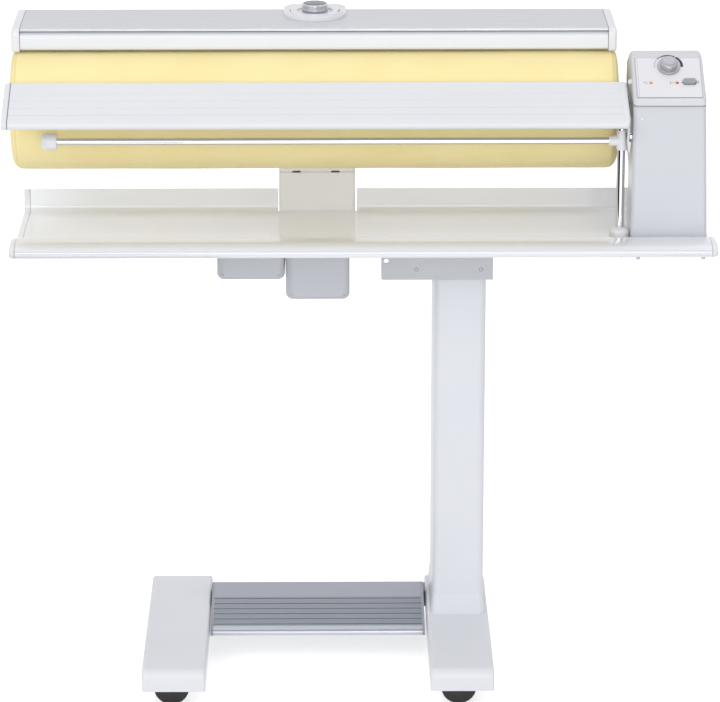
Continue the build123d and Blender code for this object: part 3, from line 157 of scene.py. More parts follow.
def spread(tree, value, low, high, out_low=0.0, out_high=1.0):
    """Maps a value from one range to another, held at the ends."""
    return add(tree, "ShaderNodeMapRange", {"Value": value, "From Min": low, "From Max": high,
                                            "To Min": out_low, "To Max": out_high}).outputs["Result"]


def drifting(tree, base, shade, size=0.15):
    """A slow drift from one shade to another, in blotches about size metres across."""
    return colour_mix(tree, spread(tree, grain(tree, size, detail=1.0), 0.2, 0.8), base, shade)


def paint(tree, shader, colour):
    """Leads a colour socket into the shader."""
    tree.links.new(colour, shader.inputs["Base Color"])


def mottle(tree, shader, base, shade, size, low, high, detail=1.0):
    """Paints the shader with two shades in a grain of a size, and returns the grain."""
    noise = grain(tree, size, detail=detail)
    paint(tree, shader, colour_mix(tree, spread(tree, noise, low, high), base, shade))
    return noise


def raise_surface(tree, shader, height, depth):
    """Bump from a height socket of 0 to 1, depth metres deep."""
    bump = add(tree, "ShaderNodeBump", {"Height": height, "Strength": 1.0, "Distance": depth})
    tree.links.new(bump.outputs["Normal"], shader.inputs["Normal"])


print("helpers ready")


# %% [markdown]
# Where two shells meet, the joint gathers a thin line of dust and shade. The lines stand square to
# the machine's length, so a band round a given X finds them; its width is near a millimetre so
# that it shows at this distance. The same bands, run along Z, also paint shade where no joint is:
# a wide band of painted shade along the finger guard, under the top plate's lip.

# %% Joint lines and painted shade bands
def seam_and_shade_lines(tree, colour, places, line_colour="#85878D", width=1.5 * MM, axis=0):
    """Darkens a colour in thin bands round the given places along an axis, in metres."""
    along = axes_of(tree, place_of(tree))[axis]
    for place in places:
        off = maths(tree, "ABSOLUTE", maths(tree, "SUBTRACT", along, place))
        band = spread(tree, off, 0.3 * width, 0.6 * width, 1.0, 0.0)
        colour = colour_mix(tree, band, colour, line_colour)
    return colour


# %% [markdown]
# Most of the machine is sheet steel or aluminium under a stoved powder coat. Powder melts into a
# skin with a faint orange peel: ripples about 2 mm apart that break up a reflection. A slow drift
# of a shade over some 150 mm keeps a wide panel from looking like paper.

# %% Powder-coated steel
def powder_coat(name, base, shade, roughness=0.38, joints=(), **line):
    material, tree, shader = new_material(name, base, roughness)
    paint(tree, shader, seam_and_shade_lines(tree, drifting(tree, base, shade), joints, **line))
    raise_surface(tree, shader, grain(tree, 2.0 * MM), 0.012 * MM)
    gloss = spread(tree, grain(tree, 0.04, detail=1.0), 0.2, 0.8, roughness - 0.02, roughness + 0.03)
    tree.links.new(gloss, shader.inputs["Roughness"])
    return material


# %% [markdown]
# The tray and its ends are glossier: white stove enamel over a smooth primer, which lies like a
# clear coat and throws back what stands behind. The ledge's nose is painted a shade greyer: painted
# shade, where the light from the front falls full on it.

# %% Stove enamel
nose_tip, nose_rear = -0.1385, -0.1330        # along Y, where the greyer shade begins and ends


def stove_enamel(name, base, shade, painted_nose_shade, joints):
    material, tree, shader = new_material(name, base, 0.3, levels={
        "Coat Weight": 1.0, "Coat Roughness": 0.08, "Coat IOR": 1.6})
    # Painted shade: the ledge's nose is painted greyer where the front light falls full on it.
    nose = spread(tree, axes_of(tree, place_of(tree))[1], nose_tip, nose_rear, 1.0, 0.0)
    colour = colour_mix(tree, nose, drifting(tree, base, shade), painted_nose_shade)
    paint(tree, shader, seam_and_shade_lines(tree, colour, joints, "#B4B6BC"))
    raise_surface(tree, shader, grain(tree, 3.0 * MM), 0.008 * MM)
    return material


# %% [markdown]
# The covers, caps and knobs are injection-moulded ABS. The mould is spark-eroded, which leaves a
# fine even pebble of about 0.4 mm, drawn here at 1 mm so that it shows at this distance.

# %% Moulded ABS
def moulded_abs(name, base, shade, roughness=0.34, pebble=1.0 * MM, joints=(), **line):
    material, tree, shader = new_material(name, base, roughness, levels={"IOR": 1.53})
    paint(tree, shader, seam_and_shade_lines(tree, drifting(tree, base, shade, 0.08), joints, **line))
    raise_surface(tree, shader, grain(tree, pebble, detail=1.0), 0.008 * MM)
    return material


# %% [markdown]
# Bright chrome plate is nearly a mirror. Polishing leaves hairlines that run round or along the
# rod, and they stretch highlights a little, so roughness varies between fine streaks. Drawn,
# extruded and turned metals keep the lines of their making, 0.8 mm apart here to show at all.

# %% Metals
def chrome_plate(name, base="#E2E3E6"):
    material, tree, shader = new_material(name, base, 0.07, 1.0)
    streak = grain(tree, 3.0 * MM, (0.2, 1.0, 1.0))
    tree.links.new(spread(tree, streak, 0.3, 0.7, 0.025, 0.06), shader.inputs["Roughness"])
    return material


def drawn_metal(name, base, shade, roughness, along=(0.03, 1.0, 1.0), line=0.8 * MM, metallic=1.0,
                joints=()):
    """Metal with lines that run the way it was drawn, extruded or turned."""
    material, tree, shader = new_material(name, base, roughness, metallic)
    line_noise = grain(tree, line, along, 3.0)
    colour = colour_mix(tree, spread(tree, line_noise, 0.3, 0.7), base, shade)
    paint(tree, shader, seam_and_shade_lines(tree, colour, joints))
    tree.links.new(spread(tree, line_noise, 0.3, 0.7, roughness - 0.06, roughness + 0.08),
                   shader.inputs["Roughness"])
    raise_surface(tree, shader, line_noise, 0.01 * MM)
    return material


def cast_metal(name, base, shade, roughness=0.6):
    """Sand-cast iron under thin paint: a coarse grain with pits."""
    material, tree, shader = new_material(name, base, roughness, 0.4)
    raise_surface(tree, shader, mottle(tree, shader, base, shade, 1.6 * MM, 0.0, 1.0, 4.0), 0.12 * MM)
    return material


def moulded_nylon(name, base, shade, roughness=0.42):
    """Moulded nylon tyres and hoods: dark, with a satin shine and dust in the hollows."""
    material, tree, shader = new_material(name, base, roughness)
    mottle(tree, shader, base, shade, 6.0 * MM, 0.5, 0.8, 4.0)
    raise_surface(tree, shader, grain(tree, 0.8 * MM), 0.02 * MM)
    return material


print("finishes defined")


# %% [markdown]
# The pedal's tread is an aluminium extrusion, anodised and unpolished. Its rear is plain; its front
# has fine ribs 3 mm apart between the deep grooves, and that band is painted darker: painted shade
# of the fine grooves. The nose is painted lighter: a painted highlight on its rounded edge. The
# bands follow the tread's slope, so the pattern is turned square to it.

# %% Ribbed tread
tread_pivot = (0.0, 0.116, 0.062)
tread_slope = radians(10.3)
ribs_front, ribs_rear = -0.110, -0.032        # up the slope from the pivot
ribs_fade = 2.0 * MM


def ribbed_tread(name, plain, ribbed, painted_nose_highlight):
    material, tree, shader = new_material(name, plain, 0.36, 0.75)
    place = place_of(tree, centre=tread_pivot, turn=(-tread_slope, 0.0, 0.0))
    back = axes_of(tree, place)[1]
    ribs = spread(tree, maths(tree, "PINGPONG", back, 1.5 * MM), 0.3 * MM, 1.2 * MM)
    among = maths(tree, "MULTIPLY", spread(tree, back, ribs_front - ribs_fade, ribs_front),
                  spread(tree, back, ribs_rear + ribs_fade, ribs_rear))
    # The ribbed band's darker colour is painted shade of its fine grooves.
    colour = colour_mix(tree, maths(tree, "MULTIPLY", among, 0.9), plain, ribbed)
    # The nose's lighter colour is a painted highlight on its rounded edge.
    nose = spread(tree, back, ribs_front, ribs_front - ribs_fade)
    colour = colour_mix(tree, nose, colour, painted_nose_highlight)
    lines = spread(tree, grain(tree, 0.8 * MM, (0.02, 1.0, 1.0), 3.0), 0.3, 0.7)
    paint(tree, shader, colour_mix(tree, maths(tree, "MULTIPLY", lines, 0.12), colour, "#7E828C"))
    raise_surface(tree, shader, maths(tree, "MULTIPLY", ribs, among), 0.25 * MM)
    return material


# %% [markdown]
# The two lamps are acrylic lenses in one node: amber on the left and red on the right. One
# material serves both, with the colour picked by where the lens lies along X. A clear coat gives
# them the wet gloss of acrylic.

# %% Lamp lenses
def lamp_lens(name, left, right, split):
    material, tree, shader = new_material(name, left, 0.12, levels={"Coat Weight": 0.6, "IOR": 1.49})
    side = maths(tree, "GREATER_THAN", axes_of(tree, place_of(tree))[0], split)
    paint(tree, shader, colour_mix(tree, side, left, right))
    return material


# %% [markdown]
# The knob on the panel is ABS sprayed with a silver lacquer. The flakes lie flat in the lacquer and
# scatter light like a soft metal, so it is nearly metallic, with a fine sparkle of grain.

# %% Silver lacquer
def silver_lacquer(name, base, shade):
    material, tree, shader = new_material(name, base, 0.44, 0.6, {
        "Coat Weight": 0.35, "Coat Roughness": 0.12})
    mottle(tree, shader, base, shade, 0.9 * MM, 0.35, 0.65)
    return material


# %% [markdown]
# The hinge stud is chromed steel with a blackened washer behind its head. They are one solid, so
# the washer is told by where it lies along X.

# %% The hinge stud
def two_tone_stud(name, washer_x):
    material, tree, shader = new_material(name, "#D8D9DC", 0.1, 1.0)
    behind = maths(tree, "LESS_THAN", axes_of(tree, place_of(tree))[0], washer_x)
    paint(tree, shader, colour_mix(tree, behind, "#DCDDE0", "#2E2D31"))
    streak = grain(tree, 1.0 * MM, (1.0, 0.2, 0.2))
    tree.links.new(spread(tree, streak, 0.3, 0.7, 0.08, 0.16), shader.inputs["Roughness"])
    return material


# %% One finish for each material slot
board_joints = (-0.4840,)          # X of the board's left end cap
shoe_joints = (-0.4745, 0.3470)    # X of the shoe's two end caps
tray_joints = (-0.4763, 0.4840)    # X of the tray's two end caps
head_seam = 0.8550                 # Z of the joint between the housing and its head
# The finger guard's band at this height is painted shade under the top plate's lip.
guard_shade_band_z = 0.9350                 # Z of the line along the finger guard
arm_seam = 0.7015                  # Z of the joint across the arm's cover
lamp_split = 0.4180                # X between the two lamps
washer_edge = 0.3716               # X of the edge of the hinge stud's washer

finishes = {
    "foot_grey": powder_coat("silver_powder_coat", "#E7E9EE", "#E2E4EA"),
    "frame_steel": powder_coat("grey_frame_paint", "#8E9197", "#84878E", 0.5),
    "column_white": powder_coat("pale_column_coat", "#E2E4EA", "#DEE0E7"),
    "bracket_grey": powder_coat("bracket_grey_coat", "#C6C8CD", "#BFC2C7"),
    "bright_steel": drawn_metal("turned_steel", "#C9CACC", "#B5B6B9", 0.28),
    "dark_plastic": moulded_nylon("dark_nylon", "#131216", "#1E1D21"),
    "ribbed_aluminium": ribbed_tread("extruded_aluminium", "#A9ACB5", "#9499A3", "#C4C7CF"),
    "grey_plastic": moulded_abs("grey_abs", "#A4A7B0", "#9A9DA7"),
    "tray_white": stove_enamel("white_stove_enamel", "#F6F8FF", "#F3F6FD", "#DEE0E6", tray_joints),
    "white_plastic": moulded_abs("white_abs", "#E8E8EC", "#E3E3E8"),
    "box_grey": powder_coat("box_grey_coat", "#C4C6CD", "#BDBFC6"),
    "motor_black": cast_metal("motor_black_paint", "#202124", "#2C2D31", 0.5),
    "housing_white": powder_coat("housing_white_coat", "#D5D7DE", "#D1D3DA", 0.3),
    "panel_white": moulded_abs("panel_foil", "#E4E4E9", "#E0E0E6", 0.4, 0.6 * MM),
    "lamp_lens": lamp_lens("acrylic_lenses", "#DA7E34", "#BE4A30", lamp_split),
    "knob_grey": silver_lacquer("silver_lacquer", "#B9B9BE", "#A9A9AF"),
    "cast_frame": cast_metal("cast_iron", "#6A6B6E", "#58595C"),
    "gear_steel": drawn_metal("machined_gear_steel", "#8F9093", "#7C7D80", 0.35),
    "tube_steel": drawn_metal("drawn_tube_steel", "#A3A4A6", "#8E8F92", 0.4),
    "heater_aluminium": drawn_metal("polished_heater_plate", "#C6C7CA", "#B8B9BD", 0.2),
    "element_steel": drawn_metal("heat_tinted_steel", "#6E655C", "#4B4A52", 0.45),
    "top_aluminium": drawn_metal("anodised_top", "#D2D4D9", "#CACCD2", 0.42, (0.02, 1.0, 1.0),
                                 1.0 * MM, 0.55, shoe_joints),
    "chrome_knob": chrome_plate("chrome_knob_plate", "#C8C9CD"),
    "chrome": chrome_plate("chrome_plate"),
    "board_white": powder_coat("board_white_coat", "#E3E5E9", "#E0E2E7", 0.34, board_joints),
    "wheel_black": moulded_nylon("wheel_nylon", "#0B0A0D", "#141317", 0.3),
}
special_finishes = {
    "rocker_switch": moulded_abs("rocker_abs", "#9A9DA1", "#94979C", 0.36),
    "housing_body": powder_coat("housing_body_coat", "#D2D4DB", "#CFD1D8", 0.3, axis=2,
                                joints=(head_seam - 0.7 * MM,), line_colour="#A3A5AB", width=1.8 * MM),
    "control_head": moulded_abs("head_abs", "#D7D8DE", "#D3D4DA", 0.34, axis=2,
                                joints=(head_seam + 0.7 * MM,), line_colour="#A3A5AB", width=1.6 * MM),
    # The finger guard's wide grey band is painted shade under the top plate's lip, not a joint.
    "finger_guard": moulded_abs("guard_abs", "#E7E9EF", "#E4E6EC", 0.3, joints=(guard_shade_band_z,), axis=2,
                                line_colour="#C6C8CE", width=6.0 * MM),
    "heater_end_caps": moulded_abs("cap_abs", "#EAE8EC", "#E5E4E9", 0.32, joints=shoe_joints,
                                   line_colour="#B4B6BC"),
    "board_screw": two_tone_stud("hinge_stud_plate", washer_edge),
    "board_end_caps": moulded_abs("board_cap_abs", "#E4E6EA", "#E0E2E7", 0.34, joints=board_joints),
    "ledge_rail": stove_enamel("ledge_enamel", "#E7E9EE", "#E4E6EC", "#D3D5DB", tray_joints),
    "tray_end_caps": stove_enamel("tray_end_enamel", "#F2F4FA", "#EFF1F8", "#DEE0E6", tray_joints),
    "arm_cover": moulded_abs("arm_cover_abs", "#FCFCFF", "#F9F9FD", 0.36, joints=(arm_seam,), axis=2,
                             line_colour="#D2D2D4"),
}

slots = {part["node"]: part["material_slot"] for part in frame["record"]["subparts"]}
for name, node in nodes.items():
    node.data.materials.clear()
    if name in special_finishes or slots[name] in finishes:
        node.data.materials.append(special_finishes.get(name) or finishes[slots[name]])
print(len(finishes) + len(special_finishes), "finishes on", len(nodes), "nodes")


# %% [markdown]
# Every new piece ends the same way: doubles merged, faces turned outwards, the mesh kept in place
# in the machine's frame, sharp where the real part has an edge, and riding on its body. A few
# workshop steps come again and again: faces raised, edges rounded, profiles turned, and bars
# sliced near an end so that the slices can be drawn in to a rounded nose.

# %% Making a piece
def mesh_of(name, bm):
    """Turns a bmesh into a mesh."""
    mesh = bpy.data.meshes.new(name)
    bm.to_mesh(mesh)
    bm.free()
    return mesh


def new_piece(name, bm, material, body, sharp=40.0):
    bmesh.ops.remove_doubles(bm, verts=bm.verts, dist=1e-7)
    bmesh.ops.recalc_face_normals(bm, faces=bm.faces)
    mesh = mesh_of(name, bm)
    mesh.shade_smooth()
    mesh.set_sharp_from_angle(angle=radians(sharp))
    mesh.materials.append(material)
    piece = show(name, mesh)
    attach(piece, body)
    return piece


def turned(bm, points, centre, axis, steps):
    """Joins points into a line of edges and turns it full circle about an axis."""
    line = [bm.verts.new(point) for point in points]
    line += [bm.edges.new(pair) for pair in zip(line, line[1:])]
    bmesh.ops.spin(bm, geom=line, cent=centre, axis=axis, dvec=(0, 0, 0), angle=2 * pi, steps=steps,
                   use_merge=True)


def raise_faces(bm, by, keep=True):
    """Extrudes all the faces by a vector; keep leaves the first faces as a closed back."""
    raised = bmesh.ops.extrude_face_region(bm, geom=bm.faces[:], use_keep_orig=keep)
    moved = [item for item in raised["geom"] if isinstance(item, bmesh.types.BMVert)]
    bmesh.ops.translate(bm, verts=moved, vec=by)


def round_edges(bm, edges, offset, segments):
    bmesh.ops.bevel(bm, geom=edges, offset=offset, segments=segments, profile=0.5, affect="EDGES",
                    material=-1)


def move(bm, matrix):
    bmesh.ops.transform(bm, matrix=matrix, verts=bm.verts)


def merged_copy(node_name):
    """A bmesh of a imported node, with its doubles merged."""
    bm = bmesh.new()
    bm.from_mesh(nodes[node_name].data)
    bmesh.ops.remove_doubles(bm, verts=bm.verts, dist=1e-6)
    return bm


def rounded_noses(bm, left, right, left_radius, right_radius, shares):
    """Slices a bar across near both ends; yields each vertex there, and how far it must draw in."""
    for share in shares:
        for place in (left + left_radius * share, right - right_radius * share):
            bmesh.ops.bisect_plane(bm, geom=bm.verts[:] + bm.edges[:] + bm.faces[:], dist=1e-7,
                                   plane_co=(place, 0, 0), plane_no=(1, 0, 0))
    for vertex in bm.verts:
        depth, radius = min((vertex.co.x - left, left_radius), (right - vertex.co.x, right_radius))
        if depth < radius:
            yield vertex, radius - (radius ** 2 - (radius - max(0.0, depth)) ** 2) ** 0.5


def facing(towards, place):
    """The matrix that turns +Z towards a direction and moves the origin to a place, from mm."""
    turn = Vector(towards).to_track_quat("Z", "Y").to_matrix().to_4x4()
    return Matrix.Translation(place) @ turn @ Matrix.Scale(MM, 4)


def surface_at(node_name, start, towards):
    """Where a line from start first meets a node."""
    mesh = nodes[node_name].data
    skin = BVHTree.FromPolygons([v.co for v in mesh.vertices], [p.vertices for p in mesh.polygons])
    return skin.ray_cast(Vector(start), Vector(towards))[0]


print("piece helpers ready")


# %% [markdown]
# The roller is a steel drum under a thick felt, with a cotton cover drawn tight over it. Both are
# profiles spun about the roller's axis. The cover is then shaped as sewing does: a hem gathered by
# elastic at each end, in soft pleats that die out over the rounded shoulder, and one lap seam along
# the back. Nothing hangs free for a cloth simulation to find: the drum holds the cloth in shape.

# %% The roller's measures
roller_y, roller_z = 0.0505, 0.8215
cloth_radius = 86.7 * MM
cloth_thickness = 1.2 * MM
shoulder = 14.0 * MM
opening = 52.0 * MM
cloth_low, cloth_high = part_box("roller_cloth")
cover_left, cover_right = cloth_low[0], cloth_high[0]
tube_low, tube_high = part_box("roller_tube")
drum_radius = (tube_high[2] - tube_low[2]) / 2
print("cover", round((cover_right - cover_left) / MM, 1), "mm long on a drum of radius",
      round(drum_radius / MM, 1), "mm")


# %% Roller profile
def sleeve_profile(left, right, radius, rounding, mouth, end_steps=5, turn_steps=9, span_steps=56):
    """The (x, r) line of a sleeve from its left mouth, over the drum, to its right mouth."""
    start = [(left, mouth + (radius - rounding - mouth) * i / end_steps) for i in range(end_steps)]
    turn = [(left + rounding * (1 - cos(a)), radius - rounding * (1 - sin(a)))
            for a in [pi / 2 * i / turn_steps for i in range(turn_steps + 1)]]
    half = start + turn
    span = [(left + rounding + (right - left - 2 * rounding) * i / span_steps, radius)
            for i in range(1, span_steps)]
    return half + span + [(left + right - x, r) for x, r in reversed(half)]


def spun_about_roller(profile, steps):
    """A bmesh of a profile spun full circle about the roller's axis."""
    bm = bmesh.new()
    turned(bm, [(x, roller_y, roller_z + r) for x, r in profile], (0, roller_y, roller_z), (1, 0, 0), steps)
    bmesh.ops.remove_doubles(bm, verts=bm.verts, dist=1e-6)
    bmesh.ops.recalc_face_normals(bm, faces=bm.faces)
    return bm


def round_roller(point):
    """A point's radius from the roller's axis and its angle, 0 straight back and rising upwards."""
    across, up = point.y - roller_y, point.z - roller_z
    return hypot(across, up), atan2(up, across)


# %% The felt under the cover
felt_outer = cloth_radius - cloth_thickness - 0.5 * MM
felt_left, felt_right = cover_left + 1.8 * MM, cover_right - 1.8 * MM
felt_inner = drum_radius + 0.3 * MM
felt_mouth = opening + 4.0 * MM
outside = sleeve_profile(felt_left, felt_right, felt_outer, shoulder - 1.7 * MM, felt_mouth)
inside_left, inside_right = tube_low[0] - 0.5 * MM, tube_high[0] + 0.5 * MM
inside = [(inside_left, felt_mouth), (inside_left, felt_inner),
          (inside_right, felt_inner), (inside_right, felt_mouth)]
felt_bm = spun_about_roller(outside + list(reversed(inside)) + outside[:1], 128)


# %% [markdown]
# Needled wool felt: fibres lie every way, so its face is a soft matt fuzz with clumps of 3 mm or
# so. It shows only inside the cover's mouth at each end.

# %% Wool felt
def wool_felt(name, base, shade):
    material, tree, shader = new_material(name, base, 0.95, levels={"Sheen Weight": 0.3})
    raise_surface(tree, shader, mottle(tree, shader, base, shade, 3.0 * MM, 0.3, 0.7, 6.0), 0.6 * MM)
    return material


finishes["padding_felt"] = wool_felt("needled_wool_felt", "#EADFC2", "#D9CCA8")
felt = new_piece("roller_felt", felt_bm, finishes["padding_felt"], "roller")
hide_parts("roller_padding")
print("felt", len(felt.data.vertices), "vertices")

# %% The cotton cover
pleats = 44                        # gathers round each mouth
pleat_depth = 2.2 * MM
gather_start = 3.0 * MM            # in from the drum's full radius
hem_height, hem_width = 0.5 * MM, 5.0 * MM
crease_depth, crease_half, crease_at = 0.35 * MM, 4.0 * MM, 17.0 * MM
seam_angle = radians(35.0)         # the lap seam lies behind, under the shoe
lap_height, lap_width = 0.7 * MM, 14.0 * MM
slack_height = 0.25 * MM           # long shallow waves where the cotton has stretched
cover_bm = spun_about_roller(
    sleeve_profile(cover_left, cover_right, cloth_radius, shoulder, opening, 8, 10, 60), 264)


def gathered(radius, angle):
    """How much of the gather lies at a radius, and how deep its pleats are at an angle."""
    gather = max(0.0, min(1.0, (cloth_radius - gather_start - radius) / (cloth_radius - opening)))
    return gather, gather * pleat_depth * (0.5 - 0.5 * cos(pleats * angle + 1.3 * sin(3 * angle)))


def shape_cover(point):
    """Moves a point of the cover to where sewing and the elastic hem put it."""
    radius, angle = round_roller(point)
    end = cover_left if point.x < (cover_left + cover_right) / 2 else cover_right
    inward = 1.0 if end == cover_left else -1.0
    depth = (point.x - end) * inward
    gather, pleat = gathered(radius, angle)
    hem = max(0.0, 1.0 - abs(radius - opening) / hem_width) if depth < 2 * MM else 0.0
    point.x += inward * (pleat + hem * hem_height)
    new_radius = radius - lap_height
    if 0.0 < (angle - seam_angle) * cloth_radius < lap_width:
        new_radius += lap_height
    if gather == 0.0:
        new_radius -= crease_depth * max(0.0, 1.0 - abs(depth - crease_at) / crease_half)
        new_radius += (slack_height * sin(point.x / 0.041 + 2.0 * sin(3 * angle))
                       * sin(5 * angle + point.x / 0.11))
    point.y = roller_y + new_radius * cos(angle)
    point.z = roller_z + new_radius * sin(angle)


for vertex in cover_bm.verts:
    shape_cover(vertex.co)
bmesh.ops.solidify(cover_bm, geom=cover_bm.faces[:], thickness=0.8 * MM)


# %% [markdown]
# The cover is unbleached cotton twill: cream, matt, with a low sheen from the loose fibres, and
# toasted by a breath in soft patches. Threads lie 0.6 mm apart; they are drawn at 1.3 mm so that
# the cloth still has a tooth at this distance. The pattern must run round the drum, so the angle
# about the axis, times the radius, serves as the second direction.

# %% Cotton cover
def woven_cotton(name, base, toasted, thread):
    material, tree, shader = new_material(name, base, 0.92, levels={
        "Sheen Weight": 0.25, "Sheen Roughness": 0.5, "Specular IOR Level": 0.2})
    x, y, z = axes_of(tree, place_of(tree, centre=(0.0, roller_y, roller_z)))
    around = maths(tree, "MULTIPLY", maths(tree, "ARCTAN2", z, y), cloth_radius)
    warp = maths(tree, "SINE", maths(tree, "MULTIPLY", x, pi / thread))
    weft = maths(tree, "SINE", maths(tree, "MULTIPLY", around, pi / thread))
    over = maths(tree, "MULTIPLY_ADD", maths(tree, "MULTIPLY", warp, weft), 0.5, 0.5)
    slub = grain(tree, 5.0 * MM, (0.25, 1.0, 1.0), 4.0)
    patches = spread(tree, grain(tree, 0.09, detail=3.0), 0.35, 0.75)
    colour = colour_mix(tree, maths(tree, "MULTIPLY", patches, 0.6), base, toasted)
    colour = colour_mix(tree, maths(tree, "MULTIPLY", over, 0.10), colour, "#FFF9DC")
    paint(tree, shader, seam_and_shade_lines(tree, colour, (cover_left + 8 * MM, cover_right - 8 * MM), "#EFDD9C",
                                    2.0 * MM))
    height = maths(tree, "MULTIPLY_ADD", slub, 0.6, maths(tree, "MULTIPLY", over, 0.4))
    raise_surface(tree, shader, height, 0.25 * MM)
    return material


finishes["cover_cloth"] = woven_cotton("unbleached_cotton", "#FBEBAD", "#F5E29F", 1.3 * MM)
cover = new_piece("roller_cover", cover_bm, finishes["cover_cloth"], "roller", 60.0)
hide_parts("roller_cloth")
print("cover", len(cover.data.vertices), "vertices,", pleats, "pleats at each end")

# %% [markdown]
# Two rows of stitches hold the elastic in the hem: short raised dashes with a gap between, set in a
# ring. One stitch is a stretched sphere, and the rest are turned copies of it.

# %% Hem stitches
stitch_count = 72
stitch_size = Matrix.Diagonal((0.35 * MM, 1.6 * MM, 0.4 * MM, 1.0))
stitch_ring = Matrix.Translation((0, 0, opening + 6.0 * MM))
stitch_bm = bmesh.new()
for end, out in ((cover_left, -1.0), (cover_right, 1.0)):
    for i in range(stitch_count):
        place = Matrix.Translation((end + out * 0.05 * MM, roller_y, roller_z))
        place = place @ Matrix.Rotation(2 * pi * i / stitch_count, 4, "X")
        bmesh.ops.create_icosphere(stitch_bm, subdivisions=1, radius=1.0,
                                   matrix=place @ stitch_ring @ stitch_size)
for vertex in stitch_bm.verts:
    vertex.co.x -= copysign(gathered(*round_roller(vertex.co))[1], vertex.co.x)
new_piece("hem_stitches", stitch_bm, finishes["cover_cloth"], "roller", 80.0)
print("stitches", 2 * stitch_count)


# %% [markdown]
# The control panel is a printed foil on a slope. Prints are drawn flat in the panel's own frame,
# x to the right and y up the slope in millimetres, given a tenth of a millimetre of ink, and laid
# on the slope by one matrix.

# %% The panel's frame and its inks
panel_slope = atan2(43.0, 65.0)
panel_frame = (Matrix.Translation((0.0, -0.0825, 0.8663)) @ Matrix.Rotation(panel_slope, 4, "X")
               @ Matrix.Scale(MM, 4))
ink_height = 0.12                  # mm
knob_at = (426.2, 59.0)
lamps_at = ((400.1, 29.2), (436.6, 29.2))


def print_and_shade_ink(name, base, shade):
    """Screen-printed ink: matt and opaque, a touch thin where the mesh of the screen lay; the same ink also
    draws strips of painted shade in the panel's groove.
    """
    material, tree, shader = new_material(name, base, 0.55)
    mottle(tree, shader, base, shade, 0.8 * MM, 0.4, 0.7)
    return material


black_ink = print_and_shade_ink("black_screen_ink", "#1D1D1F", "#29292C")
grey_ink = print_and_shade_ink("grey_screen_ink", "#8B8B90", "#97979C")
red_ink = print_and_shade_ink("red_screen_ink", "#D98062", "#DD8B6E")


# %% Print helpers
def ring_band(bm, centre, radius, width_start, width_end, start, end):
    """A flat band round a centre, its outer edge at radius, between two angles in degrees."""
    step_count = max(4, int(abs(end - start) / 3))
    first = Vector((cos(radians(start)), sin(radians(start)), 0))
    middle = Vector((*centre, 0))
    rim = [bm.verts.new(middle + first * (radius - width_start)), bm.verts.new(middle + first * radius)]
    rim.append(bm.edges.new(rim))
    bmesh.ops.spin(bm, geom=rim, cent=middle, axis=(0, 0, 1), dvec=(0, 0, 0),
                   angle=radians(end - start), steps=step_count)
    bm.verts.ensure_lookup_table()
    for vertex in bm.verts[-2 * (step_count + 1):]:
        away = vertex.co - middle
        if away.length < radius - 0.5 * width_start:
            swept = degrees(atan2(away.y, away.x)) - start
            share = abs((swept + 180) % 360 - 180) / abs(end - start)
            away.length = radius - (width_start + (width_end - width_start) * min(share, 1.0))
            vertex.co = middle + away


def flat_shape(bm, corners):
    """A flat face from its corners."""
    bm.faces.new([bm.verts.new((x, y, 0.0)) for x, y in corners])


def flat_box(bm, x, y, width, height):
    """A flat rectangle from its lower left corner."""
    flat_shape(bm, [(x, y), (x + width, y), (x + width, y + height), (x, y + height)])


def inked(name, bm, ink, frame_matrix=panel_frame, body="ironer"):
    """Gives flat print, or a strip of painted shade, its thickness, lays it in its frame, and makes it a
    piece.
    """
    bmesh.ops.remove_doubles(bm, verts=bm.verts, dist=1e-4)
    bmesh.ops.recalc_face_normals(bm, faces=bm.faces)
    raise_faces(bm, (0, 0, ink_height))
    move(bm, frame_matrix)
    return new_piece(name, bm, ink, body)


# %% [markdown]
# Round the knob runs a heat scale: dashes that grow into a line, and a heavy black bar at the hot
# end. Beside the lamps stand a degree mark and a sign for the heater.

# %% The heat scale
scale_at = (knob_at[0], knob_at[1] + 2.6)
scale_radius, bar_radius = 19.8, 20.2         # mm, the outer edges of the dashes and of the hot bar
scale_bm = bmesh.new()
for start, end, width_start, width_end in ((140, 125, 1.0, 1.2), (122, 60, 1.3, 2.2)):
    ring_band(scale_bm, scale_at, scale_radius, width_start, width_end, start, end)
ring_band(scale_bm, scale_at, bar_radius, 3.0, 3.6, 55, -8)
inked("heat_scale", scale_bm, black_ink)
cool_bm = bmesh.new()
for start, end in ((192, 186), (182, 176), (172, 165), (161, 154), (151, 143)):
    ring_band(cool_bm, scale_at, scale_radius, 0.8, 0.8, start, end)
inked("cool_dashes", cool_bm, grey_ink)

# %% Signs by the lamps
sign_bm = bmesh.new()
degree_x, sign_y = lamps_at[0][0] - 9.6, lamps_at[0][1]
ring_band(sign_bm, (degree_x, sign_y + 1.1), 0.85, 0.45, 0.45, 0, 359)
ring_band(sign_bm, (degree_x + 3.9, sign_y), 1.9, 0.6, 0.6, 50, 310)
bracket_x = lamps_at[1][0] - 9.8
flat_box(sign_bm, bracket_x, sign_y - 2.2, 0.7, 4.4)
for low in (sign_y - 2.2, sign_y + 1.7):
    flat_box(sign_bm, bracket_x + 0.9, low, 1.1, 0.5)
inked("lamp_signs", sign_bm, grey_ink)
dash_bm = bmesh.new()
for i in range(3):
    flat_box(dash_bm, lamps_at[1][0] - 7.6 + 1.9 * i, sign_y - 0.5, 1.3, 1.0)
inked("heater_dashes", dash_bm, red_ink)

# %% The rocker's pointer
pointer_bm = bmesh.new()
flat_shape(pointer_bm, [(464.6, 27.2), (467.8, 30.2), (464.6, 33.2)])
inked("rocker_pointer", pointer_bm, print_and_shade_ink("pale_grey_ink", "#B4B6BC", "#BFC1C6"))
print("panel prints done")

# %% [markdown]
# The panel foil ends in a fine groove. Its shade is painted: a dark strip along the lower edge,
# where it is deepest, and faint strips up the sides. The knob has a pointer line moulded on its skirt.

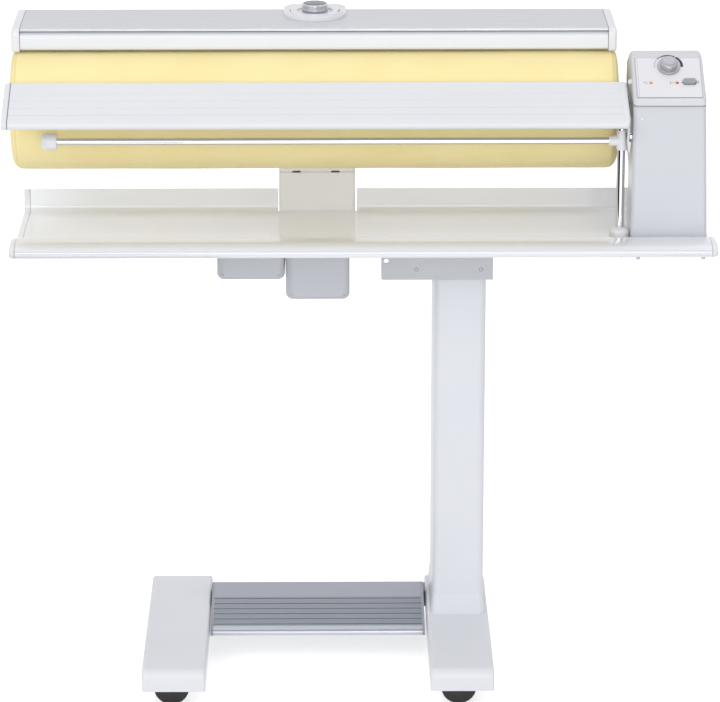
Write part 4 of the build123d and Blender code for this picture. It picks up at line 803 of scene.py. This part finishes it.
# %% Painted shade in the groove round the panel
# A dark strip of painted shade along the panel's lower edge, and fainter ones up its sides.
groove_bm = bmesh.new()
flat_box(groove_bm, 380.6, 1.0, 89.0, 1.3)
inked("panel_lower_groove_shade", groove_bm, print_and_shade_ink("groove_shade", "#8C8D93", "#94959B"))
side_bm = bmesh.new()
for x in (380.3, 382.9, 469.6):
    flat_box(side_bm, x, 2.6, 0.7, 73.0)
inked("panel_side_groove_shade", side_bm, print_and_shade_ink("faint_groove_shade", "#C3C4CA", "#C9CACF"))

# %% The knob's pointer
mark_bm = bmesh.new()
bmesh.ops.create_cube(mark_bm, size=1.0, matrix=Matrix.Translation((knob_at[0], knob_at[1] + 13.3, 3.2))
                      @ Matrix.Diagonal((0.9, 2.6, 0.7, 1.0)))
round_edges(mark_bm, mark_bm.edges[:], 0.2, 2)
move(mark_bm, panel_frame)
new_piece("knob_pointer", mark_bm, grey_ink, "temperature_knob")

# %% [markdown]
# The pressure knob is a chromed cup with a satin aluminium disc let into its top, turned on a
# lathe, so fine rings run round its middle. The rings are drawn 1.2 mm apart.

# %% The pressure knob's inlay
pressure_low, pressure_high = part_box("pressure_knob")
dial_x = (pressure_low[0] + pressure_high[0]) / 2
dial_y = (pressure_low[1] + pressure_high[1]) / 2


def lathe_turned(name, base, shade, centre, ring=1.2 * MM):
    material, tree, shader = new_material(name, base, 0.3, 1.0)
    x, y, _ = axes_of(tree, place_of(tree, centre=centre))
    flat = add(tree, "ShaderNodeCombineXYZ", {"X": x, "Y": y}).outputs[0]
    out = add(tree, "ShaderNodeVectorMath", {0: flat}, operation="LENGTH").outputs["Value"]
    rings = spread(tree, maths(tree, "PINGPONG", out, ring / 2), 0.0, ring / 2)
    paint(tree, shader, colour_mix(tree, rings, base, shade))
    raise_surface(tree, shader, rings, 0.02 * MM)
    return material


disc_finish = lathe_turned("lathe_turned_aluminium", "#83868C", "#74777D", (dial_x, dial_y, 0.0))
disc_bm = bmesh.new()
bmesh.ops.create_circle(disc_bm, cap_ends=True, segments=64, radius=(pressure_high[0] - dial_x) - 2.4 * MM,
                        matrix=Matrix.Translation((dial_x, dial_y, pressure_high[2] - 0.3 * MM)))
raise_faces(disc_bm, (0, 0, 0.5 * MM))
rim = [edge for edge in disc_bm.edges if all(v.co.z > pressure_high[2] for v in edge.verts)]
round_edges(disc_bm, rim, 0.2 * MM, 2)
new_piece("knob_inlay", disc_bm, disc_finish, "pressure_knob")

# %% The pressure dial's marks
dial_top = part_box("dial_console")[1][2]
dial_frame = Matrix.Translation((dial_x, dial_y, dial_top)) @ Matrix.Scale(MM, 4)
mark_radius = 35.5                            # mm
dial_bm = bmesh.new()
ring_band(dial_bm, (0, 0), mark_radius, 0.8, 1.2, 196, 172)
ring_band(dial_bm, (0, 0), mark_radius, 1.8, 2.6, 8, -16)
inked("pressure_marks", dial_bm, grey_ink, dial_frame, "shoe")
print("dials marked")

# %% [markdown]
# Screws and bolts are zinc plated: cool grey with a satin shine.

# %% Zinc plate
screw_steel = drawn_metal("zinc_plated_screw", "#B9BBC0", "#A5A7AC", 0.32)


# %% [markdown]
# The tray's moulded ends close the ledge with a well-rounded shoulder, like the end of a loaf: a
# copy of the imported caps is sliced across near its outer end, and each slice drawn in by a quarter
# circle.

# %% Rounded ends of the tray
tray_low, tray_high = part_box("tray_end_caps")
ledge_low, ledge_high, ledge_rear = 0.656, 0.667, -0.075
shoulder_radius = 5.2 * MM
cap_bm = merged_copy("tray_end_caps")
for vertex, pull in rounded_noses(cap_bm, tray_low[0], tray_high[0], shoulder_radius, shoulder_radius,
                                  [depth / 5.2 for depth in (0.35, 0.9, 1.7, 2.7, 3.9, 5.2)]):
    if vertex.co.y < ledge_rear:
        vertex.co.y = max(vertex.co.y, tray_low[1] + pull)
        vertex.co.z = min(max(vertex.co.z, ledge_low + 0.8 * pull), ledge_high - 0.8 * pull)
tray_ends = new_piece("rounded_tray_ends", cap_bm, special_finishes["tray_end_caps"], "ironer",
                      32.0)
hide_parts("tray_end_caps")
print("tray ends", len(tray_ends.data.vertices), "vertices")

# %% [markdown]
# Along its front the tray carries a rolled rail with a crowned top, which sheets slide over. Its
# section is one closed face, drawn out along the tray, sliced near its ends and drawn in there.

# %% The ledge's rolled rail
rail_middle, rail_waist = -0.107, 0.6640      # along Y and Z, what the rounded ends shrink towards
rail_half, rail_crown, rail_belly = 31.9 * MM, 16.0 * MM, 0.4 * MM
flank_power, crown_power = 0.62, 0.78         # below 1, so that the section is fuller than an oval
section = []
for i in range(48):
    out, up = cos(2 * pi * (i + 0.5) / 48), sin(2 * pi * (i + 0.5) / 48)
    rise = rail_crown if up > 0 else rail_belly
    section.append((rail_middle - rail_half * copysign(abs(out) ** flank_power, out),
                    ledge_low + rise * copysign(abs(up) ** crown_power, up)))
rail_bm = bmesh.new()
rail_left, rail_right = tray_low[0] + 0.1 * MM, tray_high[0] - 0.1 * MM
rail_bm.faces.new([rail_bm.verts.new((rail_left, y, z)) for y, z in section])
raise_faces(rail_bm, (rail_right - rail_left, 0, 0))
rail_round = 6.5 * MM
for vertex, pull in rounded_noses(rail_bm, rail_left, rail_right, rail_round, rail_round,
                                  (0.04, 0.14, 0.3, 0.5, 0.74, 1.0)):
    vertex.co.y = rail_middle + (vertex.co.y - rail_middle) * (1 - pull / (32 * MM))
    vertex.co.z = rail_waist + (vertex.co.z - rail_waist) * (1 - pull / (13 * MM))
new_piece("ledge_rail", rail_bm, special_finishes["ledge_rail"], "ironer", 50.0)

# %% [markdown]
# Three small bolts with dark sealing washers hold the rail's right end from below, where the
# housing's weight comes down. Each is turned: a washer, a flange and a hexagon reduced to a disc.

# %% Bolts under the ledge
bolt_bm, washer_bm = bmesh.new(), bmesh.new()
bolt_y = -0.120
bolt_profile = ((0.0, 8.6), (2.2, 8.6), (2.7, 8.0), (2.7, 5.2), (4.6, 4.8), (4.6, 3.2), (0.0, 3.2))
washer_profile = ((0.0, 3.4), (3.5, 3.4), (3.5, 0.2), (0.0, 0.2))
for x, size in ((0.383, 1.0), (0.473, 1.0), (0.360, 0.7)):
    for bm, profile in ((bolt_bm, bolt_profile), (washer_bm, washer_profile)):
        turned(bm, [(x + r * size * MM, bolt_y, ledge_low - h * size * MM) for r, h in profile],
               (x, bolt_y, 0), (0, 0, 1), 28)
new_piece("ledge_bolts", bolt_bm, screw_steel, "ironer")
new_piece("ledge_washers", washer_bm, finishes["dark_plastic"], "ironer")

# %% [markdown]
# The feeding board's ends are rounded in plan, so that no cloth snags on a corner. The same slicing
# does it, with the slices drawn in along the board's slope. The hinge ear below is left as it is.

# %% Rounded ends of the board
board_slope = atan2(0.8755 - 0.8366, -0.0221 + 0.1079)
board_up = Vector((0.0, cos(board_slope), sin(board_slope)))
board_out = Vector((0.0, -sin(board_slope), cos(board_slope)))
board_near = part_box("board_end_caps")[0][0]
board_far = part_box("feeding_board")[1][0] + 8.5 * MM
near_round, far_round = 4.5 * MM, 7.0 * MM
board_depth = 9.2 * MM             # the board's own thickness; the hinge ear hangs lower
edge_bm = merged_copy("board_end_caps")
board_top = max(v.co.dot(board_out) for v in edge_bm.verts)
board_verts = [v.co.dot(board_up) for v in edge_bm.verts if board_top - v.co.dot(board_out) < board_depth]
board_start, board_stop = min(board_verts), max(board_verts)
for vertex, pull in rounded_noses(edge_bm, board_near, board_far, near_round, far_round,
                                  (0.05, 0.15, 0.3, 0.5, 0.72, 1.0)):
    if board_top - vertex.co.dot(board_out) < board_depth:
        along = vertex.co.dot(board_up)
        vertex.co += board_up * (min(max(along, board_start + pull), board_stop - pull) - along)
board_ends = new_piece("rounded_board_ends", edge_bm, special_finishes["board_end_caps"], "board",
                       32.0)
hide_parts("board_end_caps")
print("board ends", len(board_ends.data.vertices), "vertices")

# %% [markdown]
# Screws hold the covers. A pan head is a short disc with a rounded rim and a recess pressed into
# it: a circle raised, its rim bevelled, and its top inset and pushed down. Each is set on the
# cover's own surface by casting a line at it, so none floats or sinks.

# %% Screw heads
def top_face(bm):
    return max(bm.faces, key=lambda face: face.calc_center_median().z)


def pan_head(radius, height):
    """A bmesh of one head, in millimetres."""
    bm = bmesh.new()
    bmesh.ops.create_circle(bm, cap_ends=True, segments=24, radius=radius)
    raise_faces(bm, (0, 0, height), keep=False)
    round_edges(bm, list(top_face(bm).edges), 0.45 * height, 3)
    crown = top_face(bm)
    bmesh.ops.inset_region(bm, faces=[crown], thickness=0.5 * radius, depth=0.0)
    bmesh.ops.translate(bm, verts=crown.verts[:], vec=(0, 0, -0.6 * height))
    return bm


def screws(name, node_name, starts, towards, body, radius=2.6, finish=screw_steel):
    """One piece with a pan head wherever a line from each start meets the node."""
    all_heads = bmesh.new()
    outwards = -Vector(towards)
    for start in starts:
        sunk = surface_at(node_name, start, towards) - outwards * 0.2 * MM
        one = pan_head(radius, 0.5 * radius)
        move(one, facing(outwards, sunk))
        held = mesh_of("head", one)
        all_heads.from_mesh(held)
        bpy.data.meshes.remove(held)
    new_piece(name, all_heads, finish, body)
    print(name, len(starts))


# %% Screws on the covers
front, back = (0, 1, 0), (0, -1, 0)
white_screw = moulded_abs("white_screw_cap", "#EDEDF0", "#E6E6EA", 0.3)
screws("housing_front_screw", "housing_body", [(0.3875, -0.5, 0.8365)], front, "ironer", 1.6,
       white_screw)
for name, node_name, columns, rows, towards, body, radius in (
        ("housing_rear_screws", "housing_body", (0.400, 0.466), (0.667,), back, "ironer", 2.6),
        ("heater_rear_screws", "heater_cover", (-0.440, -0.200, 0.075, 0.310), (0.835, 0.900), back,
         "shoe", 2.6),
        ("bracket_screws", "tilt_bracket", (0.080, 0.172), (0.594,), front, "stand", 3.0),
        ("press_box_screws", "left_press_box", (-0.194, -0.114), (0.598,), front, "ironer", 2.0),
        ("motor_box_screws", "right_press_box", (-0.097, -0.023), (0.569,), front, "ironer", 2.0),
        ("arm_cover_screws", "arm_cover", (-0.061,), (0.660, 0.770), back, "shoe", 2.2),
        ("column_rear_screws", "column", (0.128, 0.158), (0.120,), back, "stand", 3.0)):
    start_y = -0.5 if towards == front else 0.5
    screws(name, node_name, [(x, start_y, z) for x in columns for z in rows], towards, body, radius)

# %% [markdown]
# The feeding board's hinge has a small white plug on the housing's flank, a turned button with a
# rounded face, and two black rivets go through the top of the bar's tee.

# %% Plug and rivets
plug_bm = bmesh.new()
bmesh.ops.create_cone(plug_bm, cap_ends=True, segments=32, radius1=3.6, radius2=3.2, depth=5.0)
round_edges(plug_bm, [edge for edge in plug_bm.edges if all(v.co.z > 2.4 for v in edge.verts)], 1.0, 4)
move(plug_bm, facing((-1, 0, 0), (0.3732, -0.036, 0.8785)))
new_piece("hinge_plug", plug_bm, finishes["white_plastic"], "ironer")

screws("tee_rivets", "bar_fittings", [(0.3565, -0.3, 0.8132), (0.3655, -0.3, 0.8132)], front, "bar", 0.9,
       finishes["dark_plastic"])

# %% [markdown]
# Each twin wheel turns on a steel axle. The hub is a shallow dish, turned by spinning its half
# profile, with a raised boss in the middle and a ring step where the tyre begins.

# %% Wheel hubs
hub_grey = moulded_nylon("hub_nylon", "#121115", "#1C1B1F", 0.34)
hub_profile = ((0.0, 1.2), (2.4, 1.2), (3.2, 0.5), (9.5, 0.15), (11.0, 0.5), (12.2, 0.5), (12.8, 0.0))
for corner in ("front_left", "rear_left", "front_right", "rear_right"):
    low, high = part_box(corner + "_caster_wheels")
    axle = (Vector(low) + Vector(high)) / 2
    hub_bm = bmesh.new()
    for side, face_y in ((-1.0, low[1]), (1.0, high[1])):
        turned(hub_bm, [(axle.x + r * MM, face_y + side * (h - 0.3) * MM, axle.z) for r, h in hub_profile],
               axle, (0, 1, 0), 40)
    new_piece(corner + "_hubs", hub_bm, hub_grey, corner + "_wheels")
print("hubs on four casters")


# %% [markdown]
# A plain studio: a pale floor, soft lights from the upper left, the right, above and the front, and
# an even white world, at a level where a colour comes out about as it is written. The floor looks
# white to the camera, and keeps the soft shadow. Chrome shows only what surrounds it, so three
# dark cards stand outside the view, left, right and high; only reflections see them.

# %% Studio
matt = {"Specular IOR Level": 0.0}


def seen_directly(tree):
    """1 for a ray from the camera or off a mirror, and 0 for light that falls on the machine."""
    ray = add(tree, "ShaderNodeLightPath").outputs
    seen = maths(tree, "MAXIMUM", ray["Is Camera Ray"], ray["Is Glossy Ray"])
    return maths(tree, "MAXIMUM", seen, ray["Is Transmission Ray"])


def stage_piece(name, bm, material, only_mirrored=False):
    """A thing of the studio, which isn't part of the machine."""
    mesh = mesh_of(name, bm)
    mesh.materials.append(material)
    thing = show(name, mesh)
    if only_mirrored:
        thing.visible_camera = thing.visible_diffuse = False
        thing.visible_shadow = thing.visible_transmission = False


def studio_floor(glow_level):
    material, tree, shader = new_material("studio_paper", "#F2F2F2", 0.9, levels=matt)
    glow = add(tree, "ShaderNodeEmission", {
        "Color": linear("#FFFFFF"), "Strength": maths(tree, "MULTIPLY", seen_directly(tree), glow_level)})
    both = add(tree, "ShaderNodeAddShader", {0: shader.outputs[0], 1: glow.outputs[0]})
    tree.links.new(both.outputs[0], tree.nodes["Material Output"].inputs["Surface"])
    bm = bmesh.new()
    bmesh.ops.create_grid(bm, x_segments=1, y_segments=1, size=40.0)
    stage_piece("studio_floor", bm, material)


def studio_world(level):
    world = bpy.data.worlds.new("studio_world")
    bpy.context.scene.world = world
    world.use_nodes = True
    tree = world.node_tree
    background = tree.nodes["Background"]
    background.inputs["Color"].default_value = linear("#FFFFFF")
    tree.links.new(spread(tree, seen_directly(tree), 0.0, 1.0, level, 1.0), background.inputs["Strength"])


def soft_light(name, place, aim, width, power):
    data = bpy.data.lights.new(name, "AREA")
    data.shape = "SQUARE"
    data.size = width
    data.energy = power
    light = show(name, data)
    light.location = place
    light.rotation_euler = (Vector(aim) - Vector(place)).to_track_quat("-Z", "Y").to_euler()


def dark_card(name, place, aim, width, height):
    """A card that faces a point and that only glossy rays see."""
    material, tree, shader = new_material(name + "_felt", "#1A1820", 1.0, levels=matt)
    paint(tree, shader, colour_mix(tree, grain(tree, 0.05), "#15131B", "#221F29"))
    bm = bmesh.new()
    turn = (Vector(aim) - Vector(place)).to_track_quat("Z", "Y").to_matrix().to_4x4()
    bmesh.ops.create_grid(bm, x_segments=1, y_segments=1, size=0.5,
                          matrix=Matrix.Translation(place) @ turn @ Matrix.Diagonal((width, height, 1, 1)))
    stage_piece(name, bm, material, only_mirrored=True)


aim = (0.0, 0.0, 0.6)
studio_floor(0.62)
studio_world(0.66)
soft_light("key_light", (-2.2, -3.2, 3.4), aim, 2.4, 42.0)
soft_light("fill_light", (3.0, -3.0, 2.2), aim, 2.6, 8.0)
soft_light("top_light", (0.2, 0.6, 3.6), aim, 2.6, 12.0)
soft_light("front_light", (0.0, -5.6, 1.5), aim, 3.0, 64.0)
dark_card("left_dark_card", (-0.95, -0.80, 0.32), (0.0, 0.0, 0.32), 2.0, 0.6)
dark_card("right_dark_card", (1.56, -0.55, 0.32), (0.0, 0.0, 0.32), 1.3, 0.6)
dark_card("high_dark_card", (0.0, -1.75, 3.3), (0.0, 0.0, 0.8), 4.4, 1.6)
print("studio ready")
